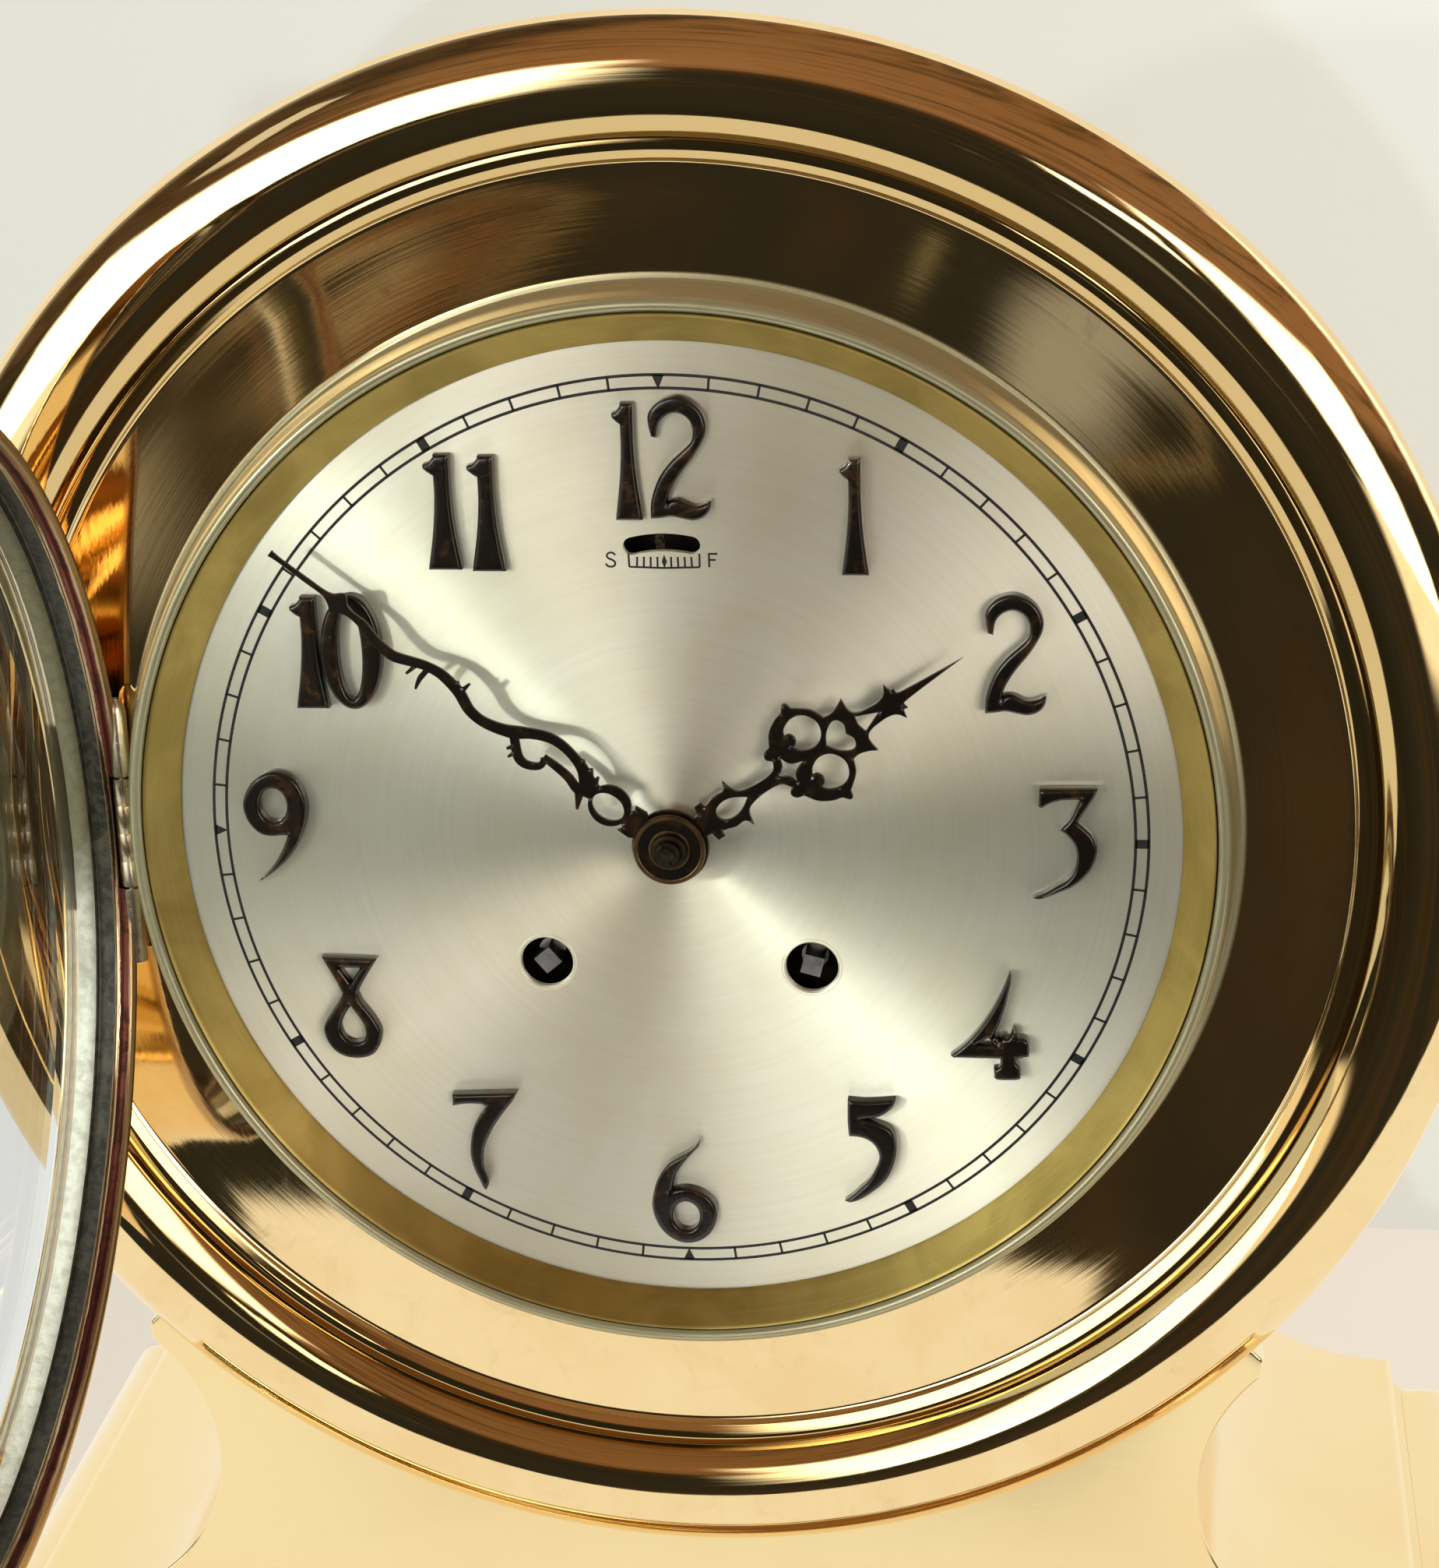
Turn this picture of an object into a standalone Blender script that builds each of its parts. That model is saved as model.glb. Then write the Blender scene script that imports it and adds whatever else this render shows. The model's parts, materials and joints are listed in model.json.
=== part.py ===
"""Pedestal clock with an open hinged bezel, built as separate pieces.

Sizes are in millimetres and the objects are made in metres. The origin is the centre of the underside, +Z is up
and the dial faces -Y. A point of the clock is written (x, y, z) from the dial's centre: x to the right, z up and y
to the rear of the dial's face, so what stands in front of the dial has a negative y.
"""
import math

import bmesh
import bpy
from mathutils import Matrix, Vector
from mathutils.geometry import delaunay_2d_cdt

MM = 0.001
RING_STEPS = 48  # facets of the large rings, the same on all so that their gaps stay even
C = True  # marks a sharp point in an outline, the other points are smooth

# Clearances
SEAT = 0.3  # between pieces that touch
RUN = 0.2  # between a turning piece and its bearing

# Dial and its ring
PLATE_R = 115.0
PLATE_T = 1.6
REFLECTOR_W = 7.0
REFLECTOR_H = 6.6
REFLECTOR_EDGE = 0.4
WIND_X = 29.0
WIND_Z = -29.6
WIND_HOLE_R = 5.7
SLOT_R = 27.3
SLOT_HALF_ANGLE = 13.2
SLOT_HALF_WIDTH = 1.9
SLOT_SKEW = 1.05

# Case rim
LEDGE_T = 6.0
COLLAR_H = 7.35
COLLAR_WALL = 5.6
COLLAR_TAPER = 3.0
COLLAR_DRAFT = 2.0
COLLAR_LIP = 1.3
RING_Y = 4.2
RING_W = 23.3
BEAD_W = 4.3
BEAD_H = 1.7
ROLL_INNER_W = 9.0
ROLL_OUTER_W = 16.5
ROLL_CREST_H = 4.7
RIM_BACK_Y = 3.7
RIM_WALL = 4.0
SPIGOT_WALL = 3.7
SPIGOT_L = 7.7
LIP_L = 1.8
LIP_W = 3.7

# Drum and back cover
DRUM_STEP = 5.8
DRUM_WALL = 3.0
DRUM_FRONT_Y = 12.6
DRUM_L = 128.4
FLANGE_W = 11.0
FLANGE_T = 3.0
COVER_T = 3.0
COVER_SCREW_IN = 8.5
COVER_SCREW_ANGLES = (20.0, 140.0, 260.0)
COVER_SCREW_SHAFT_R = 2.0
COVER_SCREW_HEAD_R = 4.0
COVER_SCREW_HEAD_T = 2.2
COVER_SCREW_L = 7.0

# Pedestal, plinth and felt
PEDESTAL_D = 145.0
PEDESTAL_WALL = 6.0
CRADLE_ANGLE = 45.9
CRADLE_WALL = 6.2
CRADLE_FLOOR = 60.7
WING_W = 28.7
SIDE_OUT = 14.5
SIDE_DROP = 8.0
SIDE_A = 51.0
NECK_WALL = 6.5
SHOULDER_W_X = 1.5
SHOULDER_T = 9.0
PLINTH_STEP = 24.0
PLINTH_FACE_H = 21.7
PLINTH_EDGE_H = 4.7
PLINTH_EDGE_IN = 21.0
PLINTH_BEVEL = 0.6
PLINTH_FILLET = 2.0
OVOLO_H = 18.0
OVOLO_IN = 19.0
OVOLO_OUT = 3.0
PLINTH_WALL = 30.0
PLINTH_ROOF_T = 10.7
PLINTH_CORNER_R = 2.0
FELT_T = 2.0
FELT_IN = 1.0
PLINTH_SCREW_IN = 31.0
PLINTH_SCREW_R = 3.0
PLINTH_SCREW_HEAD_R = 6.0
PLINTH_SCREW_HEAD_T = 3.5
PLINTH_SCREW_REACH = 12.0
PLINTH_SCREW_SLOT = 1.2
CASE_BOLT_Y = (45.0, 110.0)
CASE_BOLT_R = 4.0
CASE_BOLT_HEAD_R = 7.0
CASE_BOLT_HEAD_T = 5.0
CASE_BOLT_REACH = 5.0

# Bezel, closed, and its hinge
HINGE_IN = 0.4
HINGE_Y = -0.5
KNUCKLE_R = 2.1
PIN_R = 0.9
KNUCKLE_GAP = 0.5
KNUCKLE_LOW = -13.0
KNUCKLE_HIGH = 12.0
BEZEL_KNUCKLE_L = 17.5
NOTCH_HALF = 14.5
OPEN_ANGLE = 91.15
SKIRT_GAP = 1.3
SKIRT_WALL = 3.4
SKIRT_BACK_H = 0.3
SKIRT_STEP = 0.5
SHOULDER_H = 7.9
SHOULDER_W = 1.1
GLASS_T = 4.0
GLASS_BACK_H = 12.0
GLASS_BEVEL = 6.0
LIP_REACH = 5.1
LIP_T = 3.7
BEDDING_W = 3.0
GLASS_BEVEL_H = 1.2
CATCH_HALF_ANGLE = 3.0
CATCH_T = 0.7
CATCH_L = 3.0
CATCH_OFF = 0.3

# Hands and motion work
ARBOR_R = 1.5
PIPE_WALL = 0.9
PIPE_HOLE_GAP = 0.5
HOUR_HAND_Y = -6.2
HOUR_HAND_T = 1.0
MINUTE_HAND_Y = -8.2
MINUTE_HAND_T = 0.8
HOUR_HUB_R = 8.3
MINUTE_HUB_R = 7.8
COLLET_R = 3.9
COLLET_T = 1.1
NUT_WALL = 0.9
NUT_T = 1.1
NUT_SLOT = 0.7
HOUR_ANGLE = 55.6
MINUTE_ANGLE = 307.6
CANNON_TEETH = 10
MINUTE_WHEEL_TEETH = 30
MINUTE_PINION_TEETH = 6
HOUR_WHEEL_TEETH = 24
CANNON_MODULE = 0.72
STUD_R = 1.0
MINUTE_WHEEL_T = 1.0
HOUR_WHEEL_T = 1.0
CANNON_T = 1.8
CANNON_GAP = 0.6
WHEEL_SHAKE = 0.3

# Wheel teeth, in modules outside and inside the pitch circle
TIP = 0.9
ROOT = 1.15

# Movement
FRONT_PLATE_LAP = 6.0
FRONT_PLATE_T = 2.5
BACK_PLATE_R = 66.0
BACK_PLATE_T = 2.5
PLATE_GAP = 31.3
PILLAR_R = 3.0
PILLAR_PLACES = ((-46.0, 33.0), (46.0, 33.0), (-14.0, -58.0), (14.0, -58.0))
BARREL_RIM = 0.4
BARREL_WALL = 1.5
BARREL_L = 18.0
GREAT_TEETH = 36
GREAT_T = 2.0
GREAT_FROM_FRONT = 2.3
GREAT_MODULE = 1.4
TRAIN_PINION_TEETH = 6
TRAIN_TEETH = 32
CENTRE_PINION_TEETH = 8
TRAIN_MODULE = 1.0
TRAIN_T = 1.5
TRAIN_FROM_BACK = 6.0
PINION_OVERHANG = 1.0
LEAF_OVERHANG = 0.4
PIVOT_IN = 0.3
TRAIN_ARBOR_R = 1.2
WIND_ARBOR_R = 3.0
WIND_PIVOT_R = 2.0
WIND_PROUD = 0.8
WIND_SHAKE = 0.4
WIND_SQUARE = 4.4
WIND_SQUARE_Y = 1.0
TIME_SQUARE_ANGLE = 40.0
STRIKE_SQUARE_ANGLE = -15.0
BALANCE_Z = 38.0
BALANCE_R = 14.0
BALANCE_T = 3.0
BALANCE_RIM = 1.8
BALANCE_Y = 20.5
STAFF_R = 0.8
STAFF_IN = 1.0
BALANCE_HUB_R = 2.6
BALANCE_ARM_W = 2.0
BALANCE_ARM_IN = 0.8
LEVER_ANGLE = -2.3
LEVER_T = 1.0
LEVER_HUB_R = 3.0
LEVER_ROOT_W = 2.4
LEVER_TIP_W = 1.8
TONGUE_R = 0.8
TONGUE_Y = 0.2
BELL_Z = 16.0
BELL_R = 45.0
BELL_T = 2.0
BELL_H = 20.0
BELL_GAP = 13.5
POST_R = 3.0
POST_FOOT_R = 6.0
HAMMER_X = 56.0
HAMMER_Z = -14.0
HAMMER_HEAD_R = 4.0
HAMMER_GAP = 2.0
HAMMER_ARM_W = 4.0
HAMMER_ARM_T = 2.0
HAMMER_HUB_R = 3.4
HAMMER_OFF = 1.5

# Applied numerals
NUMERAL_T = 2.7
OUTLINE_STEP = 3.0  # longest straight stretch of a smooth outline

# Sizes that follow from the ones above
OPENING_R = PLATE_R - REFLECTOR_W
COLLAR_IN_R = PLATE_R + SEAT
COLLAR_OUT_R = PLATE_R + SEAT + COLLAR_WALL
RING_R = COLLAR_OUT_R + RING_W
ROLL_CREST_R = RING_R + BEAD_W + ROLL_INNER_W
ROLL_R = ROLL_CREST_R + ROLL_OUTER_W
DRUM_R = RING_R + DRUM_STEP
FLANGE_R = DRUM_R - DRUM_WALL - FLANGE_W
COVER_SCREW_R = DRUM_R - COVER_SCREW_IN
FRONT_PLATE_R = OPENING_R + FRONT_PLATE_LAP
LEDGE_Y = PLATE_T + SEAT
LEDGE_BACK_Y = LEDGE_Y + LEDGE_T
FRONT_PLATE_Y = LEDGE_BACK_Y + SEAT
FRONT_PLATE_BACK = FRONT_PLATE_Y + FRONT_PLATE_T
BACK_PLATE_Y = FRONT_PLATE_BACK + PLATE_GAP
BACK_PLATE_BACK = BACK_PLATE_Y + BACK_PLATE_T
RIM_BODY_BACK = DRUM_FRONT_Y - SEAT
SPIGOT_R = DRUM_R - DRUM_WALL - SEAT
DRUM_BACK_Y = DRUM_FRONT_Y + DRUM_L
COVER_Y = DRUM_BACK_Y + SEAT
CRADLE_R = DRUM_R + SEAT
PEDESTAL_Y = RIM_BACK_Y + SEAT
PLINTH_TOP = FELT_T + SEAT + PLINTH_FACE_H + OVOLO_H + PLINTH_EDGE_H
PEDESTAL_BASE = -CRADLE_R - CRADLE_FLOOR
DIAL_Z = PLINTH_TOP + SEAT - PEDESTAL_BASE
DIAL_Y = -(PEDESTAL_D / 2) - PEDESTAL_Y
WING_R = CRADLE_R + WING_W
SIDE_X = DRUM_R + SIDE_OUT
SIDE_Z = -DRUM_R - SIDE_DROP
SHOULDER_HALF = SIDE_X + SHOULDER_W_X
PLINTH_HALF_X = SHOULDER_HALF + PLINTH_STEP
PLINTH_HALF_Y = PEDESTAL_D / 2 + PLINTH_STEP
PLINTH_SCREW_X = SHOULDER_HALF - PLINTH_SCREW_IN
FOOT_Z = PEDESTAL_BASE + SHOULDER_T
PLINTH_ROOF = PLINTH_TOP - PLINTH_ROOF_T
SKIRT_IN_R = COLLAR_OUT_R - COLLAR_DRAFT + SKIRT_GAP
HINGE_X = -SKIRT_IN_R - HINGE_IN
NOTCH_X = HINGE_X + KNUCKLE_R + SEAT
BEZEL_SHOULDER_R = SKIRT_IN_R - SKIRT_STEP - SHOULDER_W
GLASS_R = BEZEL_SHOULDER_R - SEAT
LIP_IN_R = BEZEL_SHOULDER_R - LIP_REACH
BEDDING_IN_R = GLASS_R - BEDDING_W
CANNON_IN_R = ARBOR_R + SEAT
CANNON_R = CANNON_IN_R + PIPE_WALL
HOUR_PIPE_IN_R = CANNON_R + RUN
HOUR_PIPE_R = HOUR_PIPE_IN_R + PIPE_WALL
MOTION_GAP = CANNON_MODULE * (CANNON_TEETH + MINUTE_WHEEL_TEETH) / 2
HOUR_MODULE = MOTION_GAP * 2 / (MINUTE_PINION_TEETH + HOUR_WHEEL_TEETH)
TRAIN_GAP = TRAIN_MODULE * (CENTRE_PINION_TEETH + TRAIN_TEETH) / 2
GREAT_GAP = GREAT_MODULE * (TRAIN_PINION_TEETH + GREAT_TEETH) / 2
BARREL_R = GREAT_MODULE * (GREAT_TEETH / 2 - ROOT) - BARREL_RIM
GREAT_Y = FRONT_PLATE_BACK + GREAT_FROM_FRONT
TRAIN_Y = BACK_PLATE_Y - TRAIN_FROM_BACK
PIVOT_FRONT = FRONT_PLATE_Y + PIVOT_IN
PIVOT_END = BACK_PLATE_BACK - PIVOT_IN
BELL_Y = BACK_PLATE_BACK + BELL_GAP
HAMMER_HEAD_X = BELL_R + HAMMER_GAP + HAMMER_HEAD_R

# Outlines of the numerals about their own centres, and where each stands on the dial
TWO = ((-3.6, 4.5, C), (-4.7, 4.8, C), (-5.2, 7.2), (-5.2, 9.4), (-3.6, 11.7), (-1.4, 12.9), (1.1, 13.2),
       (3.6, 12.2), (5.7, 10.2), (6.7, 7.4), (6.5, 5.2), (5.4, 2.9), (3.6, 0.1), (1.4, -2.6),
       (-0.4, -5.3), (-1.6, -7.8), (-1.8, -9.3, C), (-0.9, -8.6), (0.6, -8.5), (2.0, -9.1), (3.6, -9.8),
       (5.4, -9.6), (7.4, -8.6, C), (7.0, -10.7), (5.7, -12.2), (3.6, -12.9), (1.4, -12.6),
       (-1.1, -12.1), (-3.2, -12.4), (-5.4, -12.6, C), (-5.2, -9.2), (-4.3, -6.0), (-2.9, -3.1),
       (-0.7, -0.3), (1.8, 2.0), (3.5, 3.8), (3.9, 5.8), (3.5, 7.7), (2.2, 9.2), (0.2, 9.8), (-1.8, 9.0),
       (-3.0, 7.6), (-3.5, 5.8))
ONE = ((-1.3, 12.3, C), (1.3, 12.3, C), (1.3, 3.0), (1.7, -4.0), (2.7, -12.4, C), (-3.0, -12.4, C),
       (-1.9, -4.0), (-1.4, 3.0), (-1.4, 7.8, C), (-2.4, 8.6), (-3.1, 9.4, C), (-3.1, 10.2, C),
       (-2.0, 10.8), (-1.3, 11.8, C))
THREE = ((-5.6, 11.8, C), (6.7, 12.0, C), (5.8, 10.0), (4.4, 7.7), (2.4, 4.5, C), (4.0, 3.2), (5.6, 1.5),
         (6.5, -0.9), (6.4, -3.0), (5.6, -5.5), (4.0, -7.8), (1.5, -10.0), (-1.4, -11.4), (-4.2, -12.6),
         (-5.8, -13.0), (-6.9, -12.7, C), (-4.6, -11.7), (-2.1, -10.1), (0.1, -8.7), (1.5, -6.9),
         (2.2, -4.8), (2.3, -2.6), (1.7, -0.5), (0.4, 1.3), (-1.3, 2.8, C), (0.8, 5.2), (2.9, 9.6, C),
         (0.8, 9.5), (-1.7, 9.2), (-3.7, 8.4), (-5.1, 7.5, C), (-5.8, 7.9, C))
FOUR = ((3.6, 12.5, C), (4.0, 10.9), (3.4, 7.7), (2.7, 4.5), (1.5, 0.9), (0.3, -1.7), (-0.2, -2.8, C),
        (0.4, -2.2), (1.2, -2.6), (1.7, -3.6, C), (2.0, -1.9, C), (2.6, -2.8), (3.4, -2.7), (4.0, -1.6),
        (4.3, -0.2, C), (4.9, -1.4), (5.0, -2.7, C), (6.3, -2.6), (7.5, -3.2), (7.8, -4.4),
        (7.8, -6.9, C), (5.0, -7.5, C), (5.1, -8.4), (5.8, -9.4), (6.0, -12.2, C), (4.9, -12.5),
        (0.9, -12.5), (0.3, -12.1, C), (0.2, -9.8, C), (1.3, -9.6), (1.7, -8.7), (1.6, -7.5, C),
        (-8.5, -7.5, C), (-9.1, -7.0, C), (-7.3, -5.5), (-4.8, -3.0), (-2.3, 0.2), (-0.1, 3.8),
        (1.8, 7.7), (3.1, 10.9))
FOUR_HOLE = ((-3.6, -4.4, C), (0.4, -4.4, C), (-0.9, -2.6, C))
FIVE = ((-4.6, 11.9, C), (-1.4, 11.6), (2.1, 11.8), (5.9, 12.2, C), (5.4, 10.6), (3.9, 9.0), (2.0, 7.9),
        (-0.4, 7.5), (-1.6, 7.3, C), (1.4, 6.6), (3.6, 5.7), (5.0, 4.5), (5.7, 2.4), (5.9, -0.1),
        (5.5, -2.6), (4.5, -5.5), (2.9, -8.0), (0.7, -10.1), (-2.1, -12.1), (-4.3, -12.9),
        (-5.6, -12.6, C), (-4.3, -11.6), (-2.5, -9.8), (-0.4, -7.6), (1.2, -4.8), (2.1, -2.3),
        (1.9, -0.5), (0.9, 1.3), (-0.7, 2.5), (-2.5, 3.0), (-4.5, 3.1, C), (-4.7, 7.0))
SIX = ((3.6, 12.9, C), (3.3, 11.2), (2.2, 9.9), (0.8, 8.3), (-0.6, 6.5), (-1.9, 4.4), (-2.6, 2.2),
       (-3.0, 0.2, C), (-1.0, 0.9), (1.5, 0.8), (4.2, -0.4), (6.2, -2.6), (6.9, -5.3), (6.2, -8.3),
       (4.6, -10.7), (2.2, -12.2), (-0.3, -12.6), (-2.8, -11.9), (-5.3, -9.9), (-6.9, -7.1),
       (-7.6, -3.9), (-7.4, -1.4), (-6.7, 1.5), (-5.6, 4.0), (-3.9, 6.5), (-2.1, 7.9), (0.4, 9.4),
       (2.2, 10.8))
SEVEN = ((-7.4, 10.8, C), (7.3, 11.6, C), (6.1, 9.4), (4.7, 7.6), (3.1, 5.4), (1.5, 2.9), (0.2, 0.4),
         (-0.7, -2.1), (-1.1, -4.9), (-1.0, -7.4), (-0.2, -10.6), (-0.9, -12.5, C), (-1.4, -12.0),
         (-2.3, -9.9), (-3.4, -7.1), (-4.0, -3.9), (-3.8, -0.6), (-3.1, 2.6), (-1.9, 5.1), (-0.7, 6.9),
         (0.0, 7.9, C), (-0.7, 8.5), (-2.6, 8.6), (-4.8, 8.5), (-7.4, 8.0, C))
EIGHT = ((-6.2, 11.0, C), (6.2, 10.8, C), (3.9, 7.2), (1.8, 3.6), (1.3, 2.4, C), (2.1, 0.4), (3.6, -1.7),
         (5.0, -3.9), (6.0, -6.2), (6.0, -8.0), (5.3, -10.3), (3.6, -12.2), (0.0, -13.0), (-3.6, -12.1),
         (-5.9, -9.6), (-6.8, -6.4), (-6.2, -4.2), (-4.6, -1.7), (-3.2, 0.4), (-2.1, 2.4, C),
         (-3.2, 5.1), (-5.0, 8.6))
EIGHT_TOP = ((-2.3, 8.6, C), (2.3, 8.6, C), (0.0, 4.9, C))
EIGHT_LOW = ((-0.4, -0.5, C), (2.1, -4.6), (2.6, -6.7), (2.0, -8.7), (0.0, -9.2), (-2.1, -8.1),
             (-3.0, -5.6), (-2.1, -3.1))
NINE = ((-7.6, 4.9), (-7.2, 7.0), (-6.0, 9.5), (-3.9, 11.6), (-1.4, 12.7), (0.8, 12.8), (3.3, 11.8),
        (5.1, 9.9), (6.1, 7.4), (6.5, 4.5), (6.1, 1.6), (5.2, -1.2), (3.6, -4.4), (1.1, -7.6),
        (-1.7, -10.1), (-4.2, -11.9), (-5.5, -12.4, C), (-4.2, -11.2), (-2.1, -8.9), (-0.3, -6.2),
        (1.1, -3.4), (1.8, -1.6, C), (0.1, -1.75), (-2.1, -1.9), (-4.2, -1.4), (-6.0, 0.2), (-7.2, 2.4))

# Half outline of the hour hand as (across, along), from the tip to the hub, and its holes
HOUR_EDGE = ((0.0, 75.6, C), (0.35, 70.0), (1.1, 60.5), (1.4, 59.6, C), (2.6, 59.8, C), (2.4, 59.0),
             (4.3, 58.4, C), (2.6, 57.2), (2.0, 55.5), (2.0, 53.0), (2.4, 50.5), (3.6, 49.2),
             (6.8, 49.3, C), (5.8, 47.4), (5.3, 45.5), (5.5, 43.9, C), (8.3, 42.6), (10.2, 40.4),
             (10.9, 39.4, C), (12.6, 38.6), (11.2, 37.0, C), (10.6, 34.8), (9.0, 32.3), (6.4, 30.5, C),
             (5.9, 28.9), (4.6, 28.3), (3.4, 29.4, C), (1.8, 28.2), (1.3, 25.5), (1.5, 22.0),
             (2.6, 19.0), (5.8, 17.8, C), (4.1, 16.9), (4.1, 14.5), (3.5, 12.4), (3.2, 11.3, C),
             (4.5, 11.2, C), (4.5, 9.5, C), (2.5, 9.2, C), (2.4, 7.6, C))
HOUR_SLOT = ((0.0, 54.2, C), (1.95, 49.5, C), (0.0, 49.1), (-1.95, 49.5, C))
HOUR_HEART = ((0.0, 45.8, C), (2.1, 46.6), (3.7, 45.3), (2.4, 42.6), (0.0, 40.8, C), (-2.4, 42.6),
              (-3.7, 45.3), (-2.1, 46.6))
HOUR_RING = ((5.1, 42.2), (8.0, 40.9), (9.0, 38.3), (8.0, 35.5), (6.6, 34.6, C), (6.6, 35.6), (5.2, 36.3),
             (3.8, 35.6), (3.7, 34.6, C), (2.2, 35.7), (1.2, 38.3), (2.2, 40.9))
HOUR_DIAMOND = ((0.0, 34.9, C), (1.0, 32.2), (3.25, 31.1, C), (1.2, 30.3), (0.0, 28.4, C), (-1.2, 30.3),
                (-3.25, 31.1, C), (-1.0, 32.2))
HOUR_DROP = ((0.0, 20.3, C), (1.6, 17.6), (2.05, 15.2), (1.3, 13.0), (0.0, 12.4), (-1.3, 13.0),
             (-2.05, 15.2), (-1.6, 17.6))

# Strands of the minute hand as (across, along, width), from the tip inwards
MINUTE_STEM = ((1.3, 104.5, 1.2), (1.25, 102.0, 0.8), (1.2, 95.0, 0.9), (1.2, 90.5, 1.0), (1.1, 88.6, 2.2),
               (1.1, 87.0, 4.2), (0.9, 85.4, 2.2), (0.8, 83.5, 1.2), (0.5, 80.0, 1.5), (-0.7, 76.0, 1.6),
               (-1.2, 72.0, 1.8), (-0.8, 70.0, 1.8), (0.0, 68.0, 1.7), (1.2, 65.0, 1.6), (1.8, 62.0, 1.7),
               (1.8, 60.0, 1.8), (1.4, 57.5, 1.9), (0.7, 55.0, 2.0), (-0.8, 52.0, 1.9), (-1.3, 49.0, 1.8),
               (-0.9, 46.0, 1.9), (0.1, 43.0, 2.1), (1.1, 41.0, 2.3), (2.8, 38.5, 1.9), (4.5, 35.0, 1.8),
               (4.9, 31.5, 1.7), (4.2, 27.5, 1.7), (3.0, 24.5, 2.2), (1.2, 22.0, 3.0), (0.6, 19.4, 2.4))
MINUTE_LEFT = ((1.3, 42.0, 1.4), (-0.6, 40.0, 1.6), (-3.0, 37.5, 1.7), (-3.4, 35.2, 1.5), (-2.3, 33.2, 1.3),
               (-1.2, 32.3, 1.0))
MINUTE_INNER = ((0.3, 33.2, 1.2), (0.2, 29.0, 1.5), (-0.2, 26.0, 1.6), (-1.0, 23.5, 1.8), (0.2, 21.6, 2.6))
MINUTE_LEAVES = (((-0.6, 23.0, 2.4), (-4.8, 20.8, 0.6)), ((3.0, 24.6, 1.8), (5.1, 26.2, 0.6)),
                 ((2.2, 22.6, 2.0), (4.6, 23.6, 0.6)), ((1.6, 21.0, 1.8), (3.9, 21.4, 0.6)),
                 ((0.9, 66.0, 1.2), (-2.6, 66.8, 0.6)),
                 ((1.4, 63.6, 1.2), (-1.6, 63.9, 1.2), (-4.2, 63.3, 0.5)),
                 ((1.4, 57.6, 1.2), (2.8, 56.8, 0.5)), ((0.8, 55.4, 1.4), (3.9, 54.8, 0.5)),
                 ((-1.6, 39.4, 1.2), (-3.0, 40.5, 0.5)), ((-2.2, 38.4, 1.2), (-4.4, 39.2, 0.5)),
                 ((0.0, 22.6, 3.6), (0.2, 20.2, 3.0)))
MINUTE_BLOCK = ((-3.2, 11.4, C), (-2.2, 10.8, C), (-1.0, 11.9, C), (1.4, 11.9, C), (2.6, 10.8, C),
                (3.6, 11.4, C), (3.9, 8.6, C), (2.4, 7.0, C), (-2.4, 7.0, C), (-3.2, 8.6, C))


def clear_file():
    """Empty the file."""
    for thing in list(bpy.data.objects):
        bpy.data.objects.remove(thing, do_unlink=True)
    for mesh in list(bpy.data.meshes):
        bpy.data.meshes.remove(mesh)


def material(name, colour, metallic, roughness):
    """Return a plain Principled material."""
    mat = bpy.data.materials.new(name)
    mat.use_nodes = True
    shader = mat.node_tree.nodes["Principled BSDF"]
    shader.inputs["Base Color"].default_value = (*colour, 1.0)
    shader.inputs["Metallic"].default_value = metallic
    shader.inputs["Roughness"].default_value = roughness
    mat.diffuse_color = (*colour, 1.0)
    return mat


FINISHES = {
    "brass": ((0.62, 0.44, 0.20), 1.0, 0.28),
    "pale_brass": ((0.70, 0.60, 0.40), 1.0, 0.38),
    "silvered": ((0.78, 0.79, 0.80), 1.0, 0.36),
    "dark": ((0.05, 0.028, 0.018), 0.6, 0.30),
    "steel": ((0.55, 0.56, 0.58), 1.0, 0.32),
    "nickel": ((0.72, 0.68, 0.60), 1.0, 0.25),
    "glass": ((0.90, 0.94, 0.95), 0.0, 0.03),
    "plaster": ((0.80, 0.78, 0.72), 0.0, 0.75),
    "felt": ((0.05, 0.16, 0.09), 0.0, 0.95),
    "bell_metal": ((0.66, 0.58, 0.42), 1.0, 0.30),
}


def body(name, mesh, finish, origin=(0.0, 0.0, 0.0), turn=0.0):
    """Make the object of a bmesh in dial coordinates. Its origin lies at a point of the clock, about which it is
    turned by an angle in degrees about +Z."""
    base = Vector((0.0, DIAL_Y, DIAL_Z))
    place = Vector(origin) + base
    shift = Matrix.Translation(-Vector(origin))
    bmesh.ops.transform(mesh, matrix=Matrix.Scale(MM, 4) @ shift, verts=mesh.verts)
    bmesh.ops.remove_doubles(mesh, verts=mesh.verts, dist=0.01 * MM)
    bmesh.ops.recalc_face_normals(mesh, faces=mesh.faces)
    data = bpy.data.meshes.new(name)
    mesh.to_mesh(data)
    mesh.free()
    thing = bpy.data.objects.new(name, data)
    thing.location = place * MM
    thing.rotation_euler = (0.0, 0.0, math.radians(turn))
    bpy.context.scene.collection.objects.link(thing)
    colour, metallic, roughness = FINISHES[finish]
    data.materials.append(material(name, colour, metallic, roughness))
    return thing


def polar(radius, degrees, centre=(0.0, 0.0)):
    """Return the point at an angle counted clockwise from 12 o'clock."""
    angle = math.radians(degrees)
    return (centre[0] + radius * math.sin(angle), centre[1] + radius * math.cos(angle))


def arc(radius, start, end, steps, centre=(0.0, 0.0), second=None):
    """Return points along an arc or, with a second radius, along an ellipse."""
    other = radius if second is None else second
    points = []
    for i in range(steps + 1):
        angle = math.radians(start + (end - start) * i / steps)
        points.append((centre[0] + radius * math.sin(angle), centre[1] + other * math.cos(angle)))
    return points


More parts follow.
